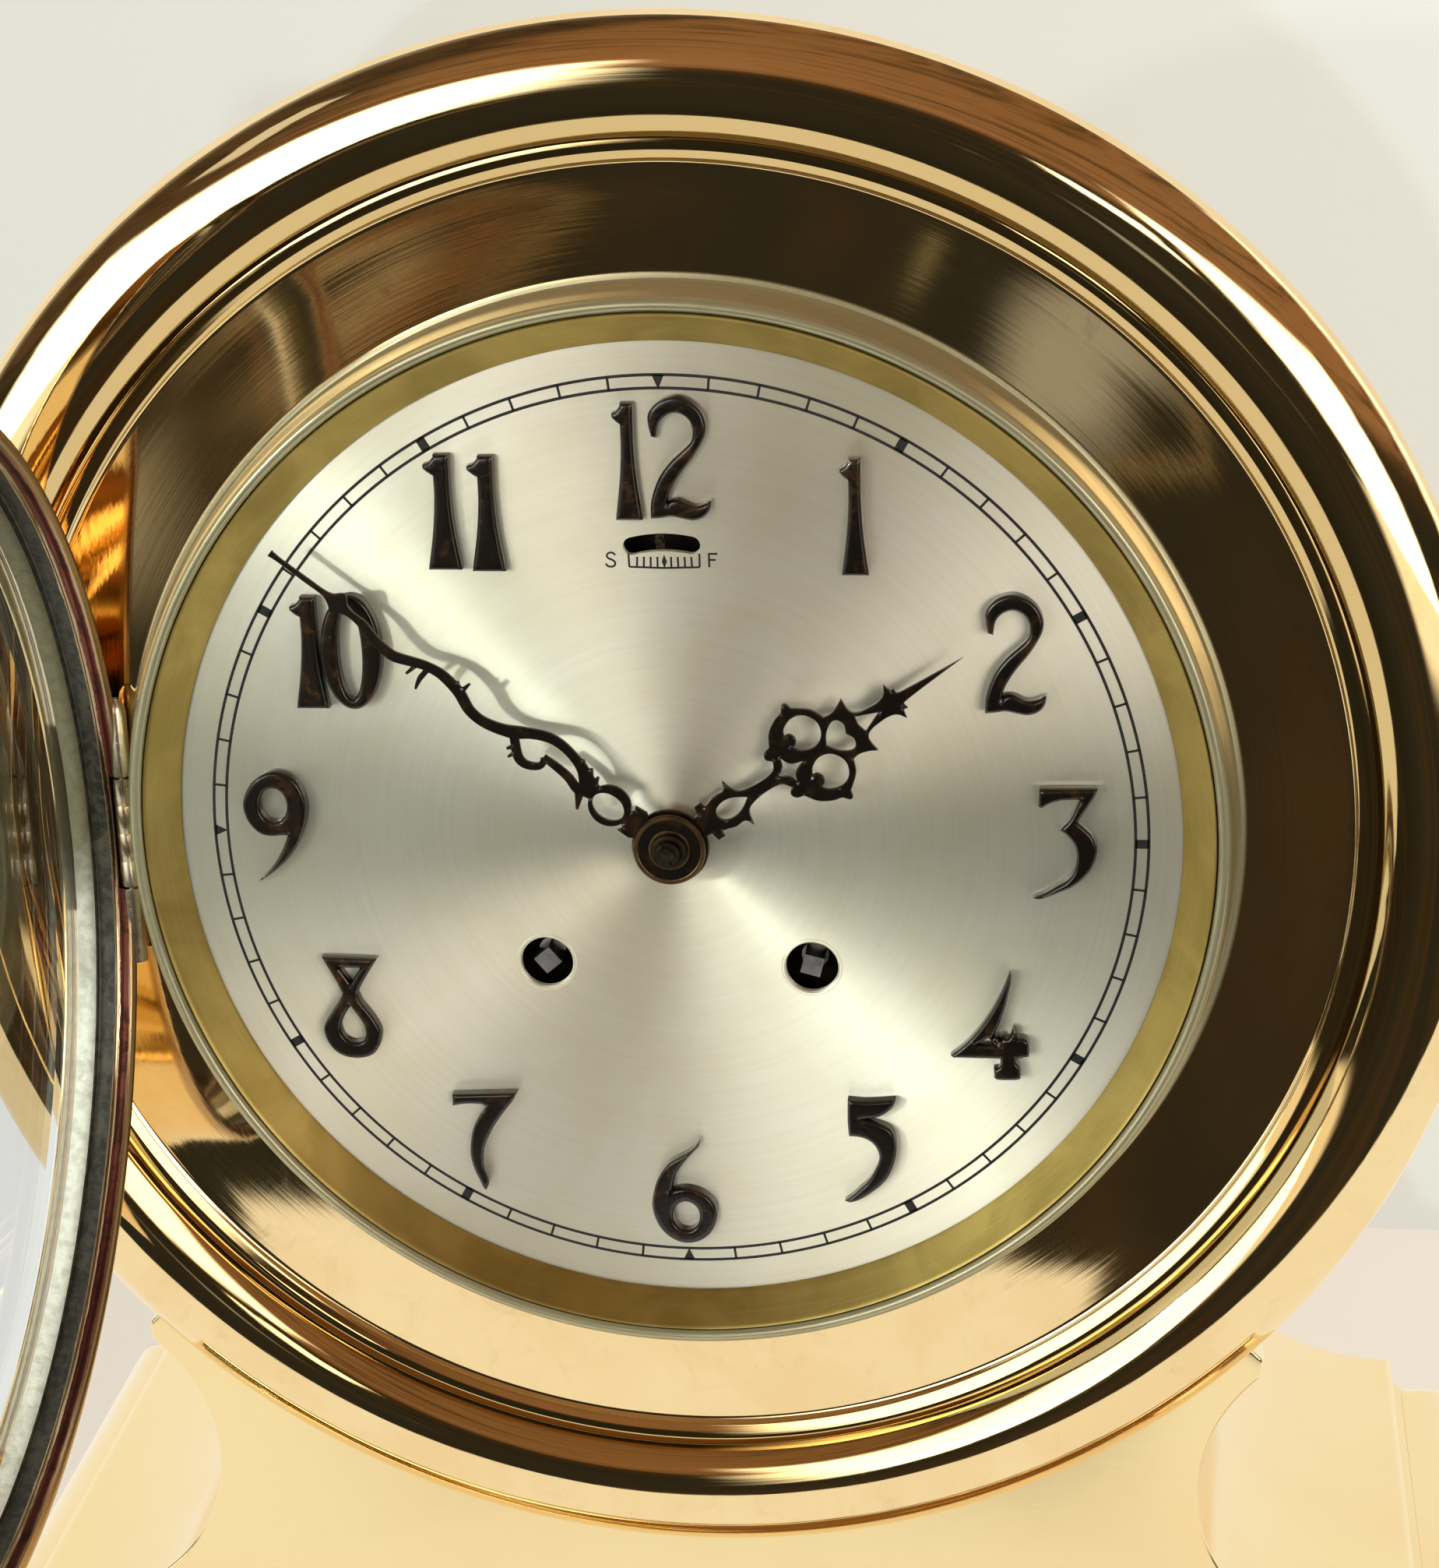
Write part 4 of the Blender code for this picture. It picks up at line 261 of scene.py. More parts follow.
NINE = ((-7.6, 4.9), (-7.2, 7.0), (-6.0, 9.5), (-3.9, 11.6), (-1.4, 12.7), (0.8, 12.8), (3.3, 11.8),
        (5.1, 9.9), (6.1, 7.4), (6.5, 4.5), (6.1, 1.6), (5.2, -1.2), (3.6, -4.4), (1.1, -7.6), (-1.7, -10.1),
        (-4.2, -11.9), (-5.5, -12.4, C), (-4.2, -11.2), (-2.1, -8.9), (-0.3, -6.2), (1.1, -3.4),
        (1.8, -1.6, C), (0.1, -1.75), (-2.1, -1.9), (-4.2, -1.4), (-6.0, 0.2), (-7.2, 2.4))

# Half outline of the hour hand as (across, along), from the tip to the hub, and its holes
HOUR_EDGE = ((0.0, 75.6, C), (0.35, 70.0), (1.1, 60.5), (1.4, 59.6, C), (2.6, 59.8, C), (2.4, 59.0),
             (4.3, 58.4, C), (2.6, 57.2), (2.0, 55.5), (2.0, 53.0), (2.4, 50.5), (3.6, 49.2), (6.8, 49.3, C),
             (5.8, 47.4), (5.3, 45.5), (5.5, 43.9, C), (8.3, 42.6), (10.2, 40.4), (10.9, 39.4, C),
             (12.6, 38.6), (11.2, 37.0, C), (10.6, 34.8), (9.0, 32.3), (6.4, 30.5, C), (5.9, 28.9),
             (4.6, 28.3), (3.4, 29.4, C), (1.8, 28.2), (1.3, 25.5), (1.5, 22.0), (2.6, 19.0), (5.8, 17.8, C),
             (4.1, 16.9), (4.1, 14.5), (3.5, 12.4), (3.2, 11.3, C), (4.5, 11.2, C), (4.5, 9.5, C),
             (2.5, 9.2, C), (2.4, 7.6, C))
HOUR_SLOT = ((0.0, 54.2, C), (1.95, 49.5, C), (0.0, 49.1), (-1.95, 49.5, C))
HOUR_HEART = ((0.0, 45.8, C), (2.1, 46.6), (3.7, 45.3), (2.4, 42.6), (0.0, 40.8, C), (-2.4, 42.6),
              (-3.7, 45.3), (-2.1, 46.6))
HOUR_RING = ((5.1, 42.2), (8.0, 40.9), (9.0, 38.3), (8.0, 35.5), (6.6, 34.6, C), (6.6, 35.6), (5.2, 36.3),
             (3.8, 35.6), (3.7, 34.6, C), (2.2, 35.7), (1.2, 38.3), (2.2, 40.9))
HOUR_DIAMOND = ((0.0, 34.9, C), (1.0, 32.2), (3.25, 31.1, C), (1.2, 30.3), (0.0, 28.4, C), (-1.2, 30.3),
                (-3.25, 31.1, C), (-1.0, 32.2))
HOUR_DROP = ((0.0, 20.3, C), (1.6, 17.6), (2.05, 15.2), (1.3, 13.0), (0.0, 12.4), (-1.3, 13.0),
             (-2.05, 15.2), (-1.6, 17.6))

# Strands of the minute hand as (across, along, width), from the tip inwards
MINUTE_STEM = ((1.3, 104.5, 1.2), (1.25, 102.0, 0.8), (1.2, 95.0, 0.9), (1.2, 90.5, 1.0), (1.1, 88.6, 2.2),
               (1.1, 87.0, 4.2), (0.9, 85.4, 2.2), (0.8, 83.5, 1.2), (0.5, 80.0, 1.5), (-0.7, 76.0, 1.6),
               (-1.2, 72.0, 1.8), (-0.8, 70.0, 1.8), (0.0, 68.0, 1.7), (1.2, 65.0, 1.6), (1.8, 62.0, 1.7),
               (1.8, 60.0, 1.8), (1.4, 57.5, 1.9), (0.7, 55.0, 2.0), (-0.8, 52.0, 1.9), (-1.3, 49.0, 1.8),
               (-0.9, 46.0, 1.9), (0.1, 43.0, 2.1), (1.1, 41.0, 2.3), (2.8, 38.5, 1.9), (4.5, 35.0, 1.8),
               (4.9, 31.5, 1.7), (4.2, 27.5, 1.7), (3.0, 24.5, 2.2), (1.2, 22.0, 3.0), (0.6, 19.4, 2.4))
MINUTE_LEFT = ((1.3, 42.0, 1.4), (-0.6, 40.0, 1.6), (-3.0, 37.5, 1.7), (-3.4, 35.2, 1.5), (-2.2, 33.0, 1.3),
               (-0.9, 32.5, 1.2), (0.2, 33.0, 1.1))
MINUTE_INNER = ((0.3, 33.2, 1.2), (0.2, 29.0, 1.5), (-0.2, 26.0, 1.6), (-1.0, 23.5, 1.8), (0.2, 21.6, 2.6))
MINUTE_LEAVES = (((-0.6, 23.0, 2.4), (-4.8, 20.8, 0.6)), ((3.0, 24.6, 1.8), (5.1, 26.2, 0.6)),
                 ((2.2, 22.6, 2.0), (4.6, 23.6, 0.6)), ((1.6, 21.0, 1.8), (3.9, 21.4, 0.6)),
                 ((0.9, 66.0, 1.2), (-2.6, 66.8, 0.6)), ((1.4, 63.6, 1.2), (-1.6, 63.9, 1.2),
                 (-4.2, 63.3, 0.5)), ((1.4, 57.6, 1.2), (2.8, 56.8, 0.5)), ((0.8, 55.4, 1.4),
                 (3.9, 54.8, 0.5)), ((-1.6, 39.4, 1.2), (-3.0, 40.5, 0.5)), ((-2.2, 38.4, 1.2),
                 (-4.4, 39.2, 0.5)), ((0.0, 22.6, 3.6), (0.2, 20.2, 3.0)))
MINUTE_BLOCK = ((-3.2, 11.4, C), (-2.2, 10.8, C), (-1.0, 11.9, C), (1.4, 11.9, C), (2.6, 10.8, C),
                (3.6, 11.4, C), (3.9, 8.6, C), (2.4, 7.0, C), (-2.4, 7.0, C), (-3.2, 8.6, C))


def polar(radius, degrees, centre=(0.0, 0.0)):
    """Return the point at an angle counted clockwise from 12 o'clock."""
    angle = math.radians(degrees)
    return (centre[0] + radius * math.sin(angle), centre[1] + radius * math.cos(angle))


def arc(radius, start, end, steps, centre=(0.0, 0.0), second=None):
    """Return points along an arc or, with a second radius, along an ellipse."""
    other = radius if second is None else second
    points = []
    for i in range(steps + 1):
        angle = math.radians(start + (end - start) * i / steps)
        points.append((centre[0] + radius * math.sin(angle), centre[1] + other * math.cos(angle)))
    return points


def circle(radius, steps, centre=(0.0, 0.0), second=None):
    """Return the points of a full circle or ellipse."""
    return arc(radius, 0.0, 360.0 - 360.0 / steps, steps - 1, centre, second)


def smooth(points, longest):
    """Return a closed outline that runs smoothly through the points and has corners at those marked C."""
    count = len(points)
    result = []
    for i, point in enumerate(points):
        ahead = points[(i + 1) % count]
        sharp = (len(point) > 2, len(ahead) > 2)
        start = Vector(point[:2])
        end = Vector(ahead[:2])
        chord = end - start
        before = Vector(points[i - 1][:2])
        after = Vector(points[(i + 2) % count][:2])
        lean_in = chord if sharp[0] else (end - before) * chord.length / max((end - before).length, 0.001)
        lean_out = chord if sharp[1] else (after - start) * chord.length / max((after - start).length, 0.001)
        steps = 1 if all(sharp) else max(1, round(chord.length / longest))
        for k in range(steps):
            t = k / steps
            result.append(tuple(start * (2 * t ** 3 - 3 * t ** 2 + 1) + lean_in * (t ** 3 - 2 * t ** 2 + t)
                                + end * (3 * t ** 2 - 2 * t ** 3) + lean_out * (t ** 3 - t ** 2)))
    return result


def strand(points, finer=1):
    """Return the outline of a strip along (across, along, width) points, refined along a smooth line."""
    line = list(points)
    for _ in range(finer if len(points) > 2 else 0):
        denser = [line[0]]
        for i in range(len(line) - 1):
            a, b = line[max(i - 1, 0)], line[i]
            c, d = line[i + 1], line[min(i + 2, len(line) - 1)]
            denser.append(tuple((9 * (q + r) - (p + s)) / 16 for p, q, r, s in zip(a, b, c, d)))
            denser.append(line[i + 1])
        line = denser
    sides = ([], [])
    for i, point in enumerate(line):
        before = Vector(line[max(i - 1, 0)][:2])
        after = Vector(line[min(i + 1, len(line) - 1)][:2])
        along = (after - before).normalized()
        across = Vector((-along.y, along.x)) * point[2] / 2
        sides[0].append(tuple(Vector(point[:2]) + across))
        sides[1].append(tuple(Vector(point[:2]) - across))
    return sides[0] + sides[1][::-1]


def turned_flat(outline, degrees):
    """Return an (across, along) outline turned clockwise about the dial's centre."""
    angle = math.radians(degrees)
    return [(x * math.cos(angle) + z * math.sin(angle), z * math.cos(angle) - x * math.sin(angle))
            for x, z in outline]


def open_edges(faces):
    """Return the directed edges that only one of the faces has."""
    edges = {(face[i - 1], face[i]) for face in faces for i in range(len(face))}
    return [(a, b) for a, b in edges if (b, a) not in edges]


def merged(solids, holes):
    """Return the vertices, the faces and the boundary loops of the union of the outlines less the holes."""
    points = []
    loops = []
    for outline in list(solids) + list(holes):
        ring = [Vector(point) for point in outline]
        if sum(here.cross(there) for here, there in zip(ring, ring[1:] + ring[:1])) < 0:
            ring.reverse()
        loops.append([len(points) + i for i in range(len(ring))])
        points.extend(ring)
    verts, _, faces, _, _, sources = delaunay_2d_cdt(points, [], loops, 0, 0.0005)
    kept = []
    for face, source in zip(faces, sources):
        if any(i < len(solids) for i in source) and not any(i >= len(solids) for i in source):
            kept.append(face)
    ahead = dict(open_edges(kept))
    borders = []
    while ahead:
        start, here = ahead.popitem()
        border = [start]
        while here != start and here in ahead:
            border.append(here)
            here = ahead.pop(here)
        borders.append([verts[i] for i in border])
    return verts, kept, borders


def slab(solids, holes, front, back):
    """Return a plate between two depths with square edges."""
    verts, kept, _ = merged(solids, holes)
    mesh = bmesh.new()
    used = sorted({i for face in kept for i in face})
    near = {i: mesh.verts.new((verts[i][0], front, verts[i][1])) for i in used}
    far = {i: mesh.verts.new((verts[i][0], back, verts[i][1])) for i in used}
    for face in kept:
        mesh.faces.new([near[i] for i in face])
        mesh.faces.new([far[i] for i in reversed(face)])
    for a, b in open_edges(kept):
        mesh.faces.new([near[b], near[a], far[a], far[b]])
    return mesh


def in_order(mesh, faces):
    """Make the faces again in a fixed order, which an extrusion or a fill changes from run to run."""
    mesh.verts.index_update()
    mesh.verts.ensure_lookup_table()
    rings = []
    for face in faces:
        ring = [vert.index for vert in face.verts]
        first = ring.index(min(ring))
        ring = ring[first:] + ring[:first]
        rings.append(min(ring, ring[:1] + ring[:0:-1]))
    bmesh.ops.delete(mesh, geom=faces, context="FACES_ONLY")
    for ring in sorted(rings):
        mesh.faces.new([mesh.verts[i] for i in ring])


def relief(solids, holes, front, back, bevel):
    """Return a plate between two depths whose front swells up from its edge like a polished casting."""
    verts, _, borders = merged(solids, holes)
    loops = []
    rim = []
    for border in borders:
        ring = []
        for here, there in zip(border, border[1:] + border[:1]):
            parts = max(1, round((there - here).length / RELIEF_STEP))
            ring += [here.lerp(there, k / parts) for k in range(parts)]
        if sum(here.cross(there) for here, there in zip(ring, ring[1:] + ring[:1])) < 0:
            ring.reverse()
        loops.append([len(rim) + i for i in range(len(ring))])
        rim += ring
    starts = np.array([tuple(point) for point in rim])
    ends = np.array([tuple(rim[loop[(i + 1) % len(loop)]]) for loop in loops for i in range(len(loop))])
    low, high = starts.min(0), starts.max(0)
    columns = [np.arange(low[axis], high[axis], RELIEF_GRID) for axis in (0, 1)]
    grid = np.stack(np.meshgrid(*columns), -1).reshape(-1, 2)
    grid = grid[edge_distance(grid, starts, ends) > bevel + RELIEF_GRID / 2]
    line = ends - starts
    normal = np.stack((-line[:, 1], line[:, 0]), -1)
    normal /= np.maximum(np.linalg.norm(normal, axis=1, keepdims=True), 1e-6)
    middle = (starts + ends) / 2
    inner = [grid]
    for k in range(1, RELIEF_ROUNDS + 1):
        depth = bevel * (1.0 - math.cos(math.pi / 2 * k / RELIEF_ROUNDS))
        for side in (1.0, -1.0):
            moved = middle + normal * depth * side
            inner.append(moved[edge_distance(moved, starts, ends) > depth * 0.98])
    inner = np.concatenate(inner)
    inner = inner[within(inner, starts, ends)]
    points = rim + [Vector(point) for point in inner]
    placed, _, faces, _, _, sources = delaunay_2d_cdt(points, [], loops, 0, 0.0002)
    spots = np.array([tuple(point) for point in placed])
    inward = np.minimum(edge_distance(spots, starts, ends), bevel)
    rise = np.sqrt(np.maximum(bevel ** 2 - (bevel - inward) ** 2, 0.0))
    mesh = bmesh.new()
    made = [mesh.verts.new((x, front + bevel - up, z)) for (x, z), up in zip(spots, rise)]
    for face, source in zip(faces, sources):
        if len(source) % 2:
            mesh.faces.new([made[i] for i in face])
    top = set(mesh.faces)
    border = [edge for edge in mesh.edges if len(edge.link_faces) == 1]
    grown = bmesh.ops.extrude_edge_only(mesh, edges=border)["geom"]
    for vert in grown:
        if isinstance(vert, bmesh.types.BMVert):
            vert.co.y = back
    far = [edge for edge in grown if isinstance(edge, bmesh.types.BMEdge) and len(edge.link_faces) == 1]
    bmesh.ops.triangle_fill(mesh, edges=far, use_beauty=True)
    in_order(mesh, [face for face in mesh.faces if face not in top])
    bmesh.ops.delete(mesh, geom=[vert for vert in mesh.verts if not vert.link_faces], context="VERTS")
    bmesh.ops.recalc_face_normals(mesh, faces=mesh.faces)
    return mesh


def rounded_slab(outline, front, back, bevel):
    """Return a deep plate of one outline whose front and back edges are rounded."""
    points = [Vector(point) for point in outline]
    leans = (0.0, 0.4, 0.8, 1.2, 1.57)
    steps = [(bevel * (1.0 - math.cos(lean)), bevel * (1.0 - math.sin(lean))) for lean in leans]
    depths = [(front + along, inset) for along, inset in steps]
    depths += [(back - along, inset) for along, inset in reversed(steps)]
    turn = 1.0 if sum(points[i - 1].cross(points[i]) for i in range(len(points))) > 0 else -1.0
    levels = []
    for y, inset in depths:
        level = []
        for i, point in enumerate(points):
            before = (point - points[i - 1]).normalized()
            after = (points[(i + 1) % len(points)] - point).normalized()
            lean = Vector((-(before.y + after.y), before.x + after.x)) * turn
            lean = lean.normalized() if lean.length > 0.05 else Vector((0.0, 0.0))
            level.append((point.x + lean.x * inset, y, point.y + lean.y * inset))
        levels.append(level)
    return lofted(levels)


def band(mesh, here, there):
    """Join two closed loops of as many vertices by faces."""
    for k in range(len(here)):
        after = (k + 1) % len(here)
        mesh.faces.new([here[k], here[after], there[after], there[k]])


def lofted(levels, ends=True):
    """Return the surface through loops of as many points, with flat ends or closed from last to first."""
    mesh = bmesh.new()
    rings = [[mesh.verts.new(point) for point in level] for level in levels]
    if ends:
        mesh.faces.new(rings[0])
        mesh.faces.new(rings[-1])
    for here, there in zip(rings, rings[1:] if ends else rings[1:] + rings[:1]):
        band(mesh, here, there)
    bmesh.ops.recalc_face_normals(mesh, faces=mesh.faces)
    return mesh


def edge_distance(points, starts, ends):
    """Return how far each point lies from the nearest of the lines."""
    nearest = np.full(len(points), 1e9)
    for start, end in zip(starts, ends):
        line = end - start
        along = np.clip(((points - start) @ line) / max(line @ line, 1e-12), 0.0, 1.0)
        away = points - start - along[:, None] * line
        nearest = np.minimum(nearest, np.einsum("ij,ij->i", away, away))
    return np.sqrt(nearest)


def within(points, starts, ends):
    """Return whether each point lies inside the closed lines."""
    crossings = np.zeros(len(points), dtype=int)
    for start, end in zip(starts, ends):
        between = (start[1] > points[:, 1]) != (end[1] > points[:, 1])
        slope = (end[0] - start[0]) / (end[1] - start[1] if end[1] != start[1] else 1e-12)
        crossings += between & (points[:, 0] < start[0] + slope * (points[:, 1] - start[1]))
    return crossings % 2 == 1


def turned(profile, steps, centre=(0.0, 0.0), upright=False):
    """Return the surface that a profile of (radius, place along the axis) sweeps. The axis runs front to back
    through an (x, z) centre or, when upright, through an (x, y) centre."""
    mesh = bmesh.new()
    rings = []
    for radius, along in profile:
        ring = []
        for k in range(1 if radius == 0 else steps):
            angle = 2 * math.pi * k / steps
            a = centre[0] + radius * math.sin(angle)
            b = centre[1] + radius * math.cos(angle)
            ring.append(mesh.verts.new((a, b, along) if upright else (a, along, b)))
        rings.append(ring)
    for here, there in zip(rings, rings[1:] + rings[:1]):
        if len(here) == 1 and len(there) == 1:
            continue
        for k in range(steps):
            corners = [here[k % len(here)], here[(k + 1) % len(here)]]
            corners += [there[(k + 1) % len(there)], there[k % len(there)]]
            mesh.faces.new(list(dict.fromkeys(corners)))
    bmesh.ops.recalc_face_normals(mesh, faces=mesh.faces)
    return mesh


def block(low, high):
    """Return a box between two corners, for cutting."""
    mesh = bmesh.new()
    bmesh.ops.create_cube(mesh, size=1.0)
    for vert in mesh.verts:
        for axis in range(3):
            vert.co[axis] = high[axis] if vert.co[axis] > 0 else low[axis]
    return mesh


def baked(name, mesh):
    """Return the mesh data of a bmesh, which is freed."""
    data = bpy.data.meshes.new(name)
    mesh.to_mesh(data)
    mesh.free()
    return data


def linked(name, data):
    """Return a new object of the scene."""
    thing = bpy.data.objects.new(name, data)
    bpy.context.scene.collection.objects.link(thing)
    return thing


def cut(mesh, tool):
    """Return what an exact boolean leaves of a bmesh outside another."""
    things = []
    for part in (mesh, tool):
        bmesh.ops.recalc_face_normals(part, faces=part.faces)
        things.append(linked("tool", baked("tool", part)))
    step = things[0].modifiers.new("step", "BOOLEAN")
    step.operation = "DIFFERENCE"
    step.solver = "EXACT"
    step.object = things[1]
    bpy.context.view_layer.update()
    result = bmesh.new()
    result.from_object(things[0], bpy.context.evaluated_depsgraph_get())
    for thing in things:
        data = thing.data
        bpy.data.objects.remove(thing, do_unlink=True)
        bpy.data.meshes.remove(data)
    return result


def joined(*parts):
    """Return one bmesh that holds several."""
    result = bmesh.new()
    for part in parts:
        data = baked("joined", part)
        result.from_mesh(data)
        bpy.data.meshes.remove(data)
    return result


def opened(mesh):
    """Turn a closed bezel piece about the hinge to where the open bezel stands."""
    shift = Matrix.Translation(Vector(HINGE))
    turn = shift @ Matrix.Rotation(math.radians(-OPEN_ANGLE), 4, "Z") @ shift.inverted()
    bmesh.ops.transform(mesh, matrix=turn, verts=mesh.verts)
    return mesh


def away(base, *steps):
    """Return the points that lie some steps from a base point."""
    return [(base[0] + x, base[1] + y) for x, y in steps]


def piece(name, mesh, body, look, nodes=(), crease=32.0):
    """Make a piece of a bmesh in the clock's coordinates, give it its look and hang it on a body."""
    place = Matrix.Scale(MM, 4) @ Matrix.Translation((0.0, DIAL_Y, DIAL_Z))
    bmesh.ops.transform(mesh, matrix=place, verts=mesh.verts)
    data = baked(name, mesh)
    data.shade_smooth()
    data.set_sharp_from_angle(angle=math.radians(crease))
    data.materials.append(look)
    thing = linked(name, data)
    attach(thing, body)
    if nodes:
        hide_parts(*nodes)


class Look:
    """A Principled material with short calls that add nodes to it."""

    def __init__(self, name, colour, metallic, roughness):
        self.mat = bpy.data.materials.new(name)
        self.mat.use_nodes = True
        self.mat.diffuse_color = (*colour, 1.0)
        self.tree = self.mat.node_tree
        self.shader = self.tree.nodes["Principled BSDF"]
        self.set("Base Color", (*colour, 1.0))
        self.set("Metallic", metallic)
        self.set("Roughness", roughness)

    def feed(self, socket, value):
        """Set a socket to a value or link it to another socket."""
        if isinstance(value, bpy.types.NodeSocket):
            self.tree.links.new(value, socket)
        else:
            socket.default_value = value

    def set(self, name, value):
        """Feed an input of the shader."""
        self.feed(self.shader.inputs[name], value)

    def add(self, kind, inputs, **settings):
        """Add a node and feed its inputs."""
        node = self.tree.nodes.new(kind)
        for key, value in settings.items():
            setattr(node, key, value)
        for key, value in inputs.items():
            self.feed(node.inputs[key], value)
        return node

    def math(self, operation, *values):
        """Return the result of a sum on numbers."""
        return self.add("ShaderNodeMath", dict(enumerate(values)), operation=operation).outputs[0]

    def times(self, first, second):
        """Return a product of two numbers."""
        return self.math("MULTIPLY", first, second)

    def scaled(self, value, factor, offset):
        """Return a number times a factor plus an offset."""
        return self.math("MULTIPLY_ADD", value, factor, offset)

    def vector(self, operation, *values):
        """Return the result of a sum on vectors."""
        node = self.add("ShaderNodeVectorMath", dict(enumerate(values)), operation=operation)
        return node.outputs["Value" if operation in ("LENGTH", "DOT_PRODUCT") else "Vector"]

    def parts(self, vector):
        """Return the x, y and z of a vector."""
        return self.add("ShaderNodeSeparateXYZ", {"Vector": vector}).outputs

    def noise(self, vector, scale, detail, rough, distortion=0.0):
        """Return a noise value from 0 to 1."""
        inputs = {"Vector": vector, "Scale": scale, "Detail": detail, "Roughness": rough}
        return self.add("ShaderNodeTexNoise", {**inputs, "Distortion": distortion}).outputs[0]

    def ramp(self, value, *stops):
        """Return a colour from stops of (place, colour)."""
        node = self.add("ShaderNodeValToRGB", {"Fac": value})
        points = node.color_ramp.elements
        while len(points) < len(stops):
            points.new(0.5)
        for point, (place, colour) in zip(points, stops):
            point.position = place
            point.color = (*colour, 1.0)
        return node.outputs[0]

    def span(self, value, low, high, out_low=0.0, out_high=1.0):
        """Return a value mapped smoothly from one range to another."""
        inputs = {"Value": value, "From Min": low, "From Max": high, "To Min": out_low, "To Max": out_high}
        return self.add("ShaderNodeMapRange", inputs, interpolation_type="SMOOTHSTEP").outputs[0]

    def mix(self, factor, first, second, blend="MIX"):
        """Return a mix of two colours."""
        node = self.tree.nodes.new("ShaderNodeMix")
        node.data_type = "RGBA"
        node.blend_type = blend
        for index, value in ((0, factor), (6, first), (7, second)):
            if isinstance(value, tuple) and len(value) == 3:
                value = (*value, 1.0)
            self.feed(node.inputs[index], value)
        return node.outputs[2]

    def tint(self, value, reach, first, second):
        """Return a mix of two colours that follows a value over a reach of (low, high) or (low, high, most)."""
        low, high, most = (*reach, 1.0)[:3]
        return self.mix(self.span(value, low, high, 0.0, most), first, second)

    def finish(self, tone, rough, height, depth):
        """Feed the colour, the roughness and a bump of some depth in metres, and return the material."""
        self.set("Base Color", tone)
        self.set("Roughness", rough)
        bump = self.add("ShaderNodeBump", {"Height": height, "Distance": depth, "Strength": 1.0})
        self.set("Normal", bump.outputs[0])
        return self.mat

    def rays(self):
        """Return whether a ray mirrors, and whether it reaches the camera straight or through glass."""
        path = self.add("ShaderNodeLightPath", {}).outputs
        return path["Is Glossy Ray"], self.math("MAXIMUM", path["Is Camera Ray"], path["Is Transmission Ray"])

    def swap(self, factor, other):
        """Show another shader where the factor is 1."""
        both = self.add("ShaderNodeMixShader", {0: factor, 1: self.shader.outputs[0], 2: other.outputs[0]})
        self.feed(self.tree.nodes["Material Output"].inputs["Surface"], both.outputs[0])

    def inside(self, across, along, patch, soft):
        """Return 1 inside a patch of (x, y, half width, half length) and 0 outside its soft edge."""
        shares = []
        for value, centre, half in ((across, patch[0], patch[2]), (along, patch[1], patch[3])):
            share = self.math("DIVIDE", self.math("SUBTRACT", value, centre), half)
            shares.append(self.math("ABSOLUTE", share))
        return self.span(self.math("MAXIMUM", *shares), 1.0 + soft, 1.0 - soft)

    def place(self, open_bezel=False):
        """Return the point in the clock's coordinates, in millimetres, or in those of the closed bezel."""
        spot = self.add("ShaderNodeTexCoord", {}).outputs["Object"]
        spot = self.vector("MULTIPLY_ADD", spot, (1000.0,) * 3, (0.0, -DIAL_Y, -DIAL_Z))
        if open_bezel:
            hinge = Vector(HINGE)
            back = Matrix.Rotation(math.radians(OPEN_ANGLE), 3, "Z")
            spot = self.add("ShaderNodeMapping", {"Vector": spot, "Location": tuple(hinge - back @ hinge),
                                                  "Rotation": (0.0, 0.0, math.radians(OPEN_ANGLE))},
                            vector_type="POINT").outputs[0]
        return spot

    def turning(self, spot):
        """Return the distance from the dial's axis, and a vector in which turned lines run round it."""
        flat = self.vector("MULTIPLY", spot, (1.0, 0.0, 1.0))
        radius = self.vector("LENGTH", flat)
        height = self.parts(spot)[1]
        sweep = self.parts(self.vector("NORMALIZE", flat))
        across = self.scaled(sweep[0], SWEEP, height)
        upward = self.times(sweep[2], SWEEP)
        lines = self.add("ShaderNodeCombineXYZ", {"X": radius, "Y": across, "Z": upward}).outputs[0]
        return radius, lines

    def radial_sheen(self, amount):
        """Stretch the highlights across the turned lines."""
        self.set("Anisotropic", amount)
        self.set("Anisotropic Rotation", 0.25)
        self.set("Tangent", self.add("ShaderNodeTangent", {}, direction_type="RADIAL", axis="Y").outputs[0])


BRASS = (0.91, 0.70, 0.37)
BRASS_WARM = (0.88, 0.64, 0.32)
BRASS_DARK = (0.42, 0.28, 0.13)
BRASS_PALE = (0.42, 0.40, 0.25)
# Darker brass for the painted shade round the bead
BRASS_BEAD_SHADE = (0.66, 0.47, 0.20)
PLATE_BRASS = (0.80, 0.58, 0.26)
STEEL = (0.56, 0.56, 0.57)
STEEL_DARK = (0.34, 0.33, 0.32)


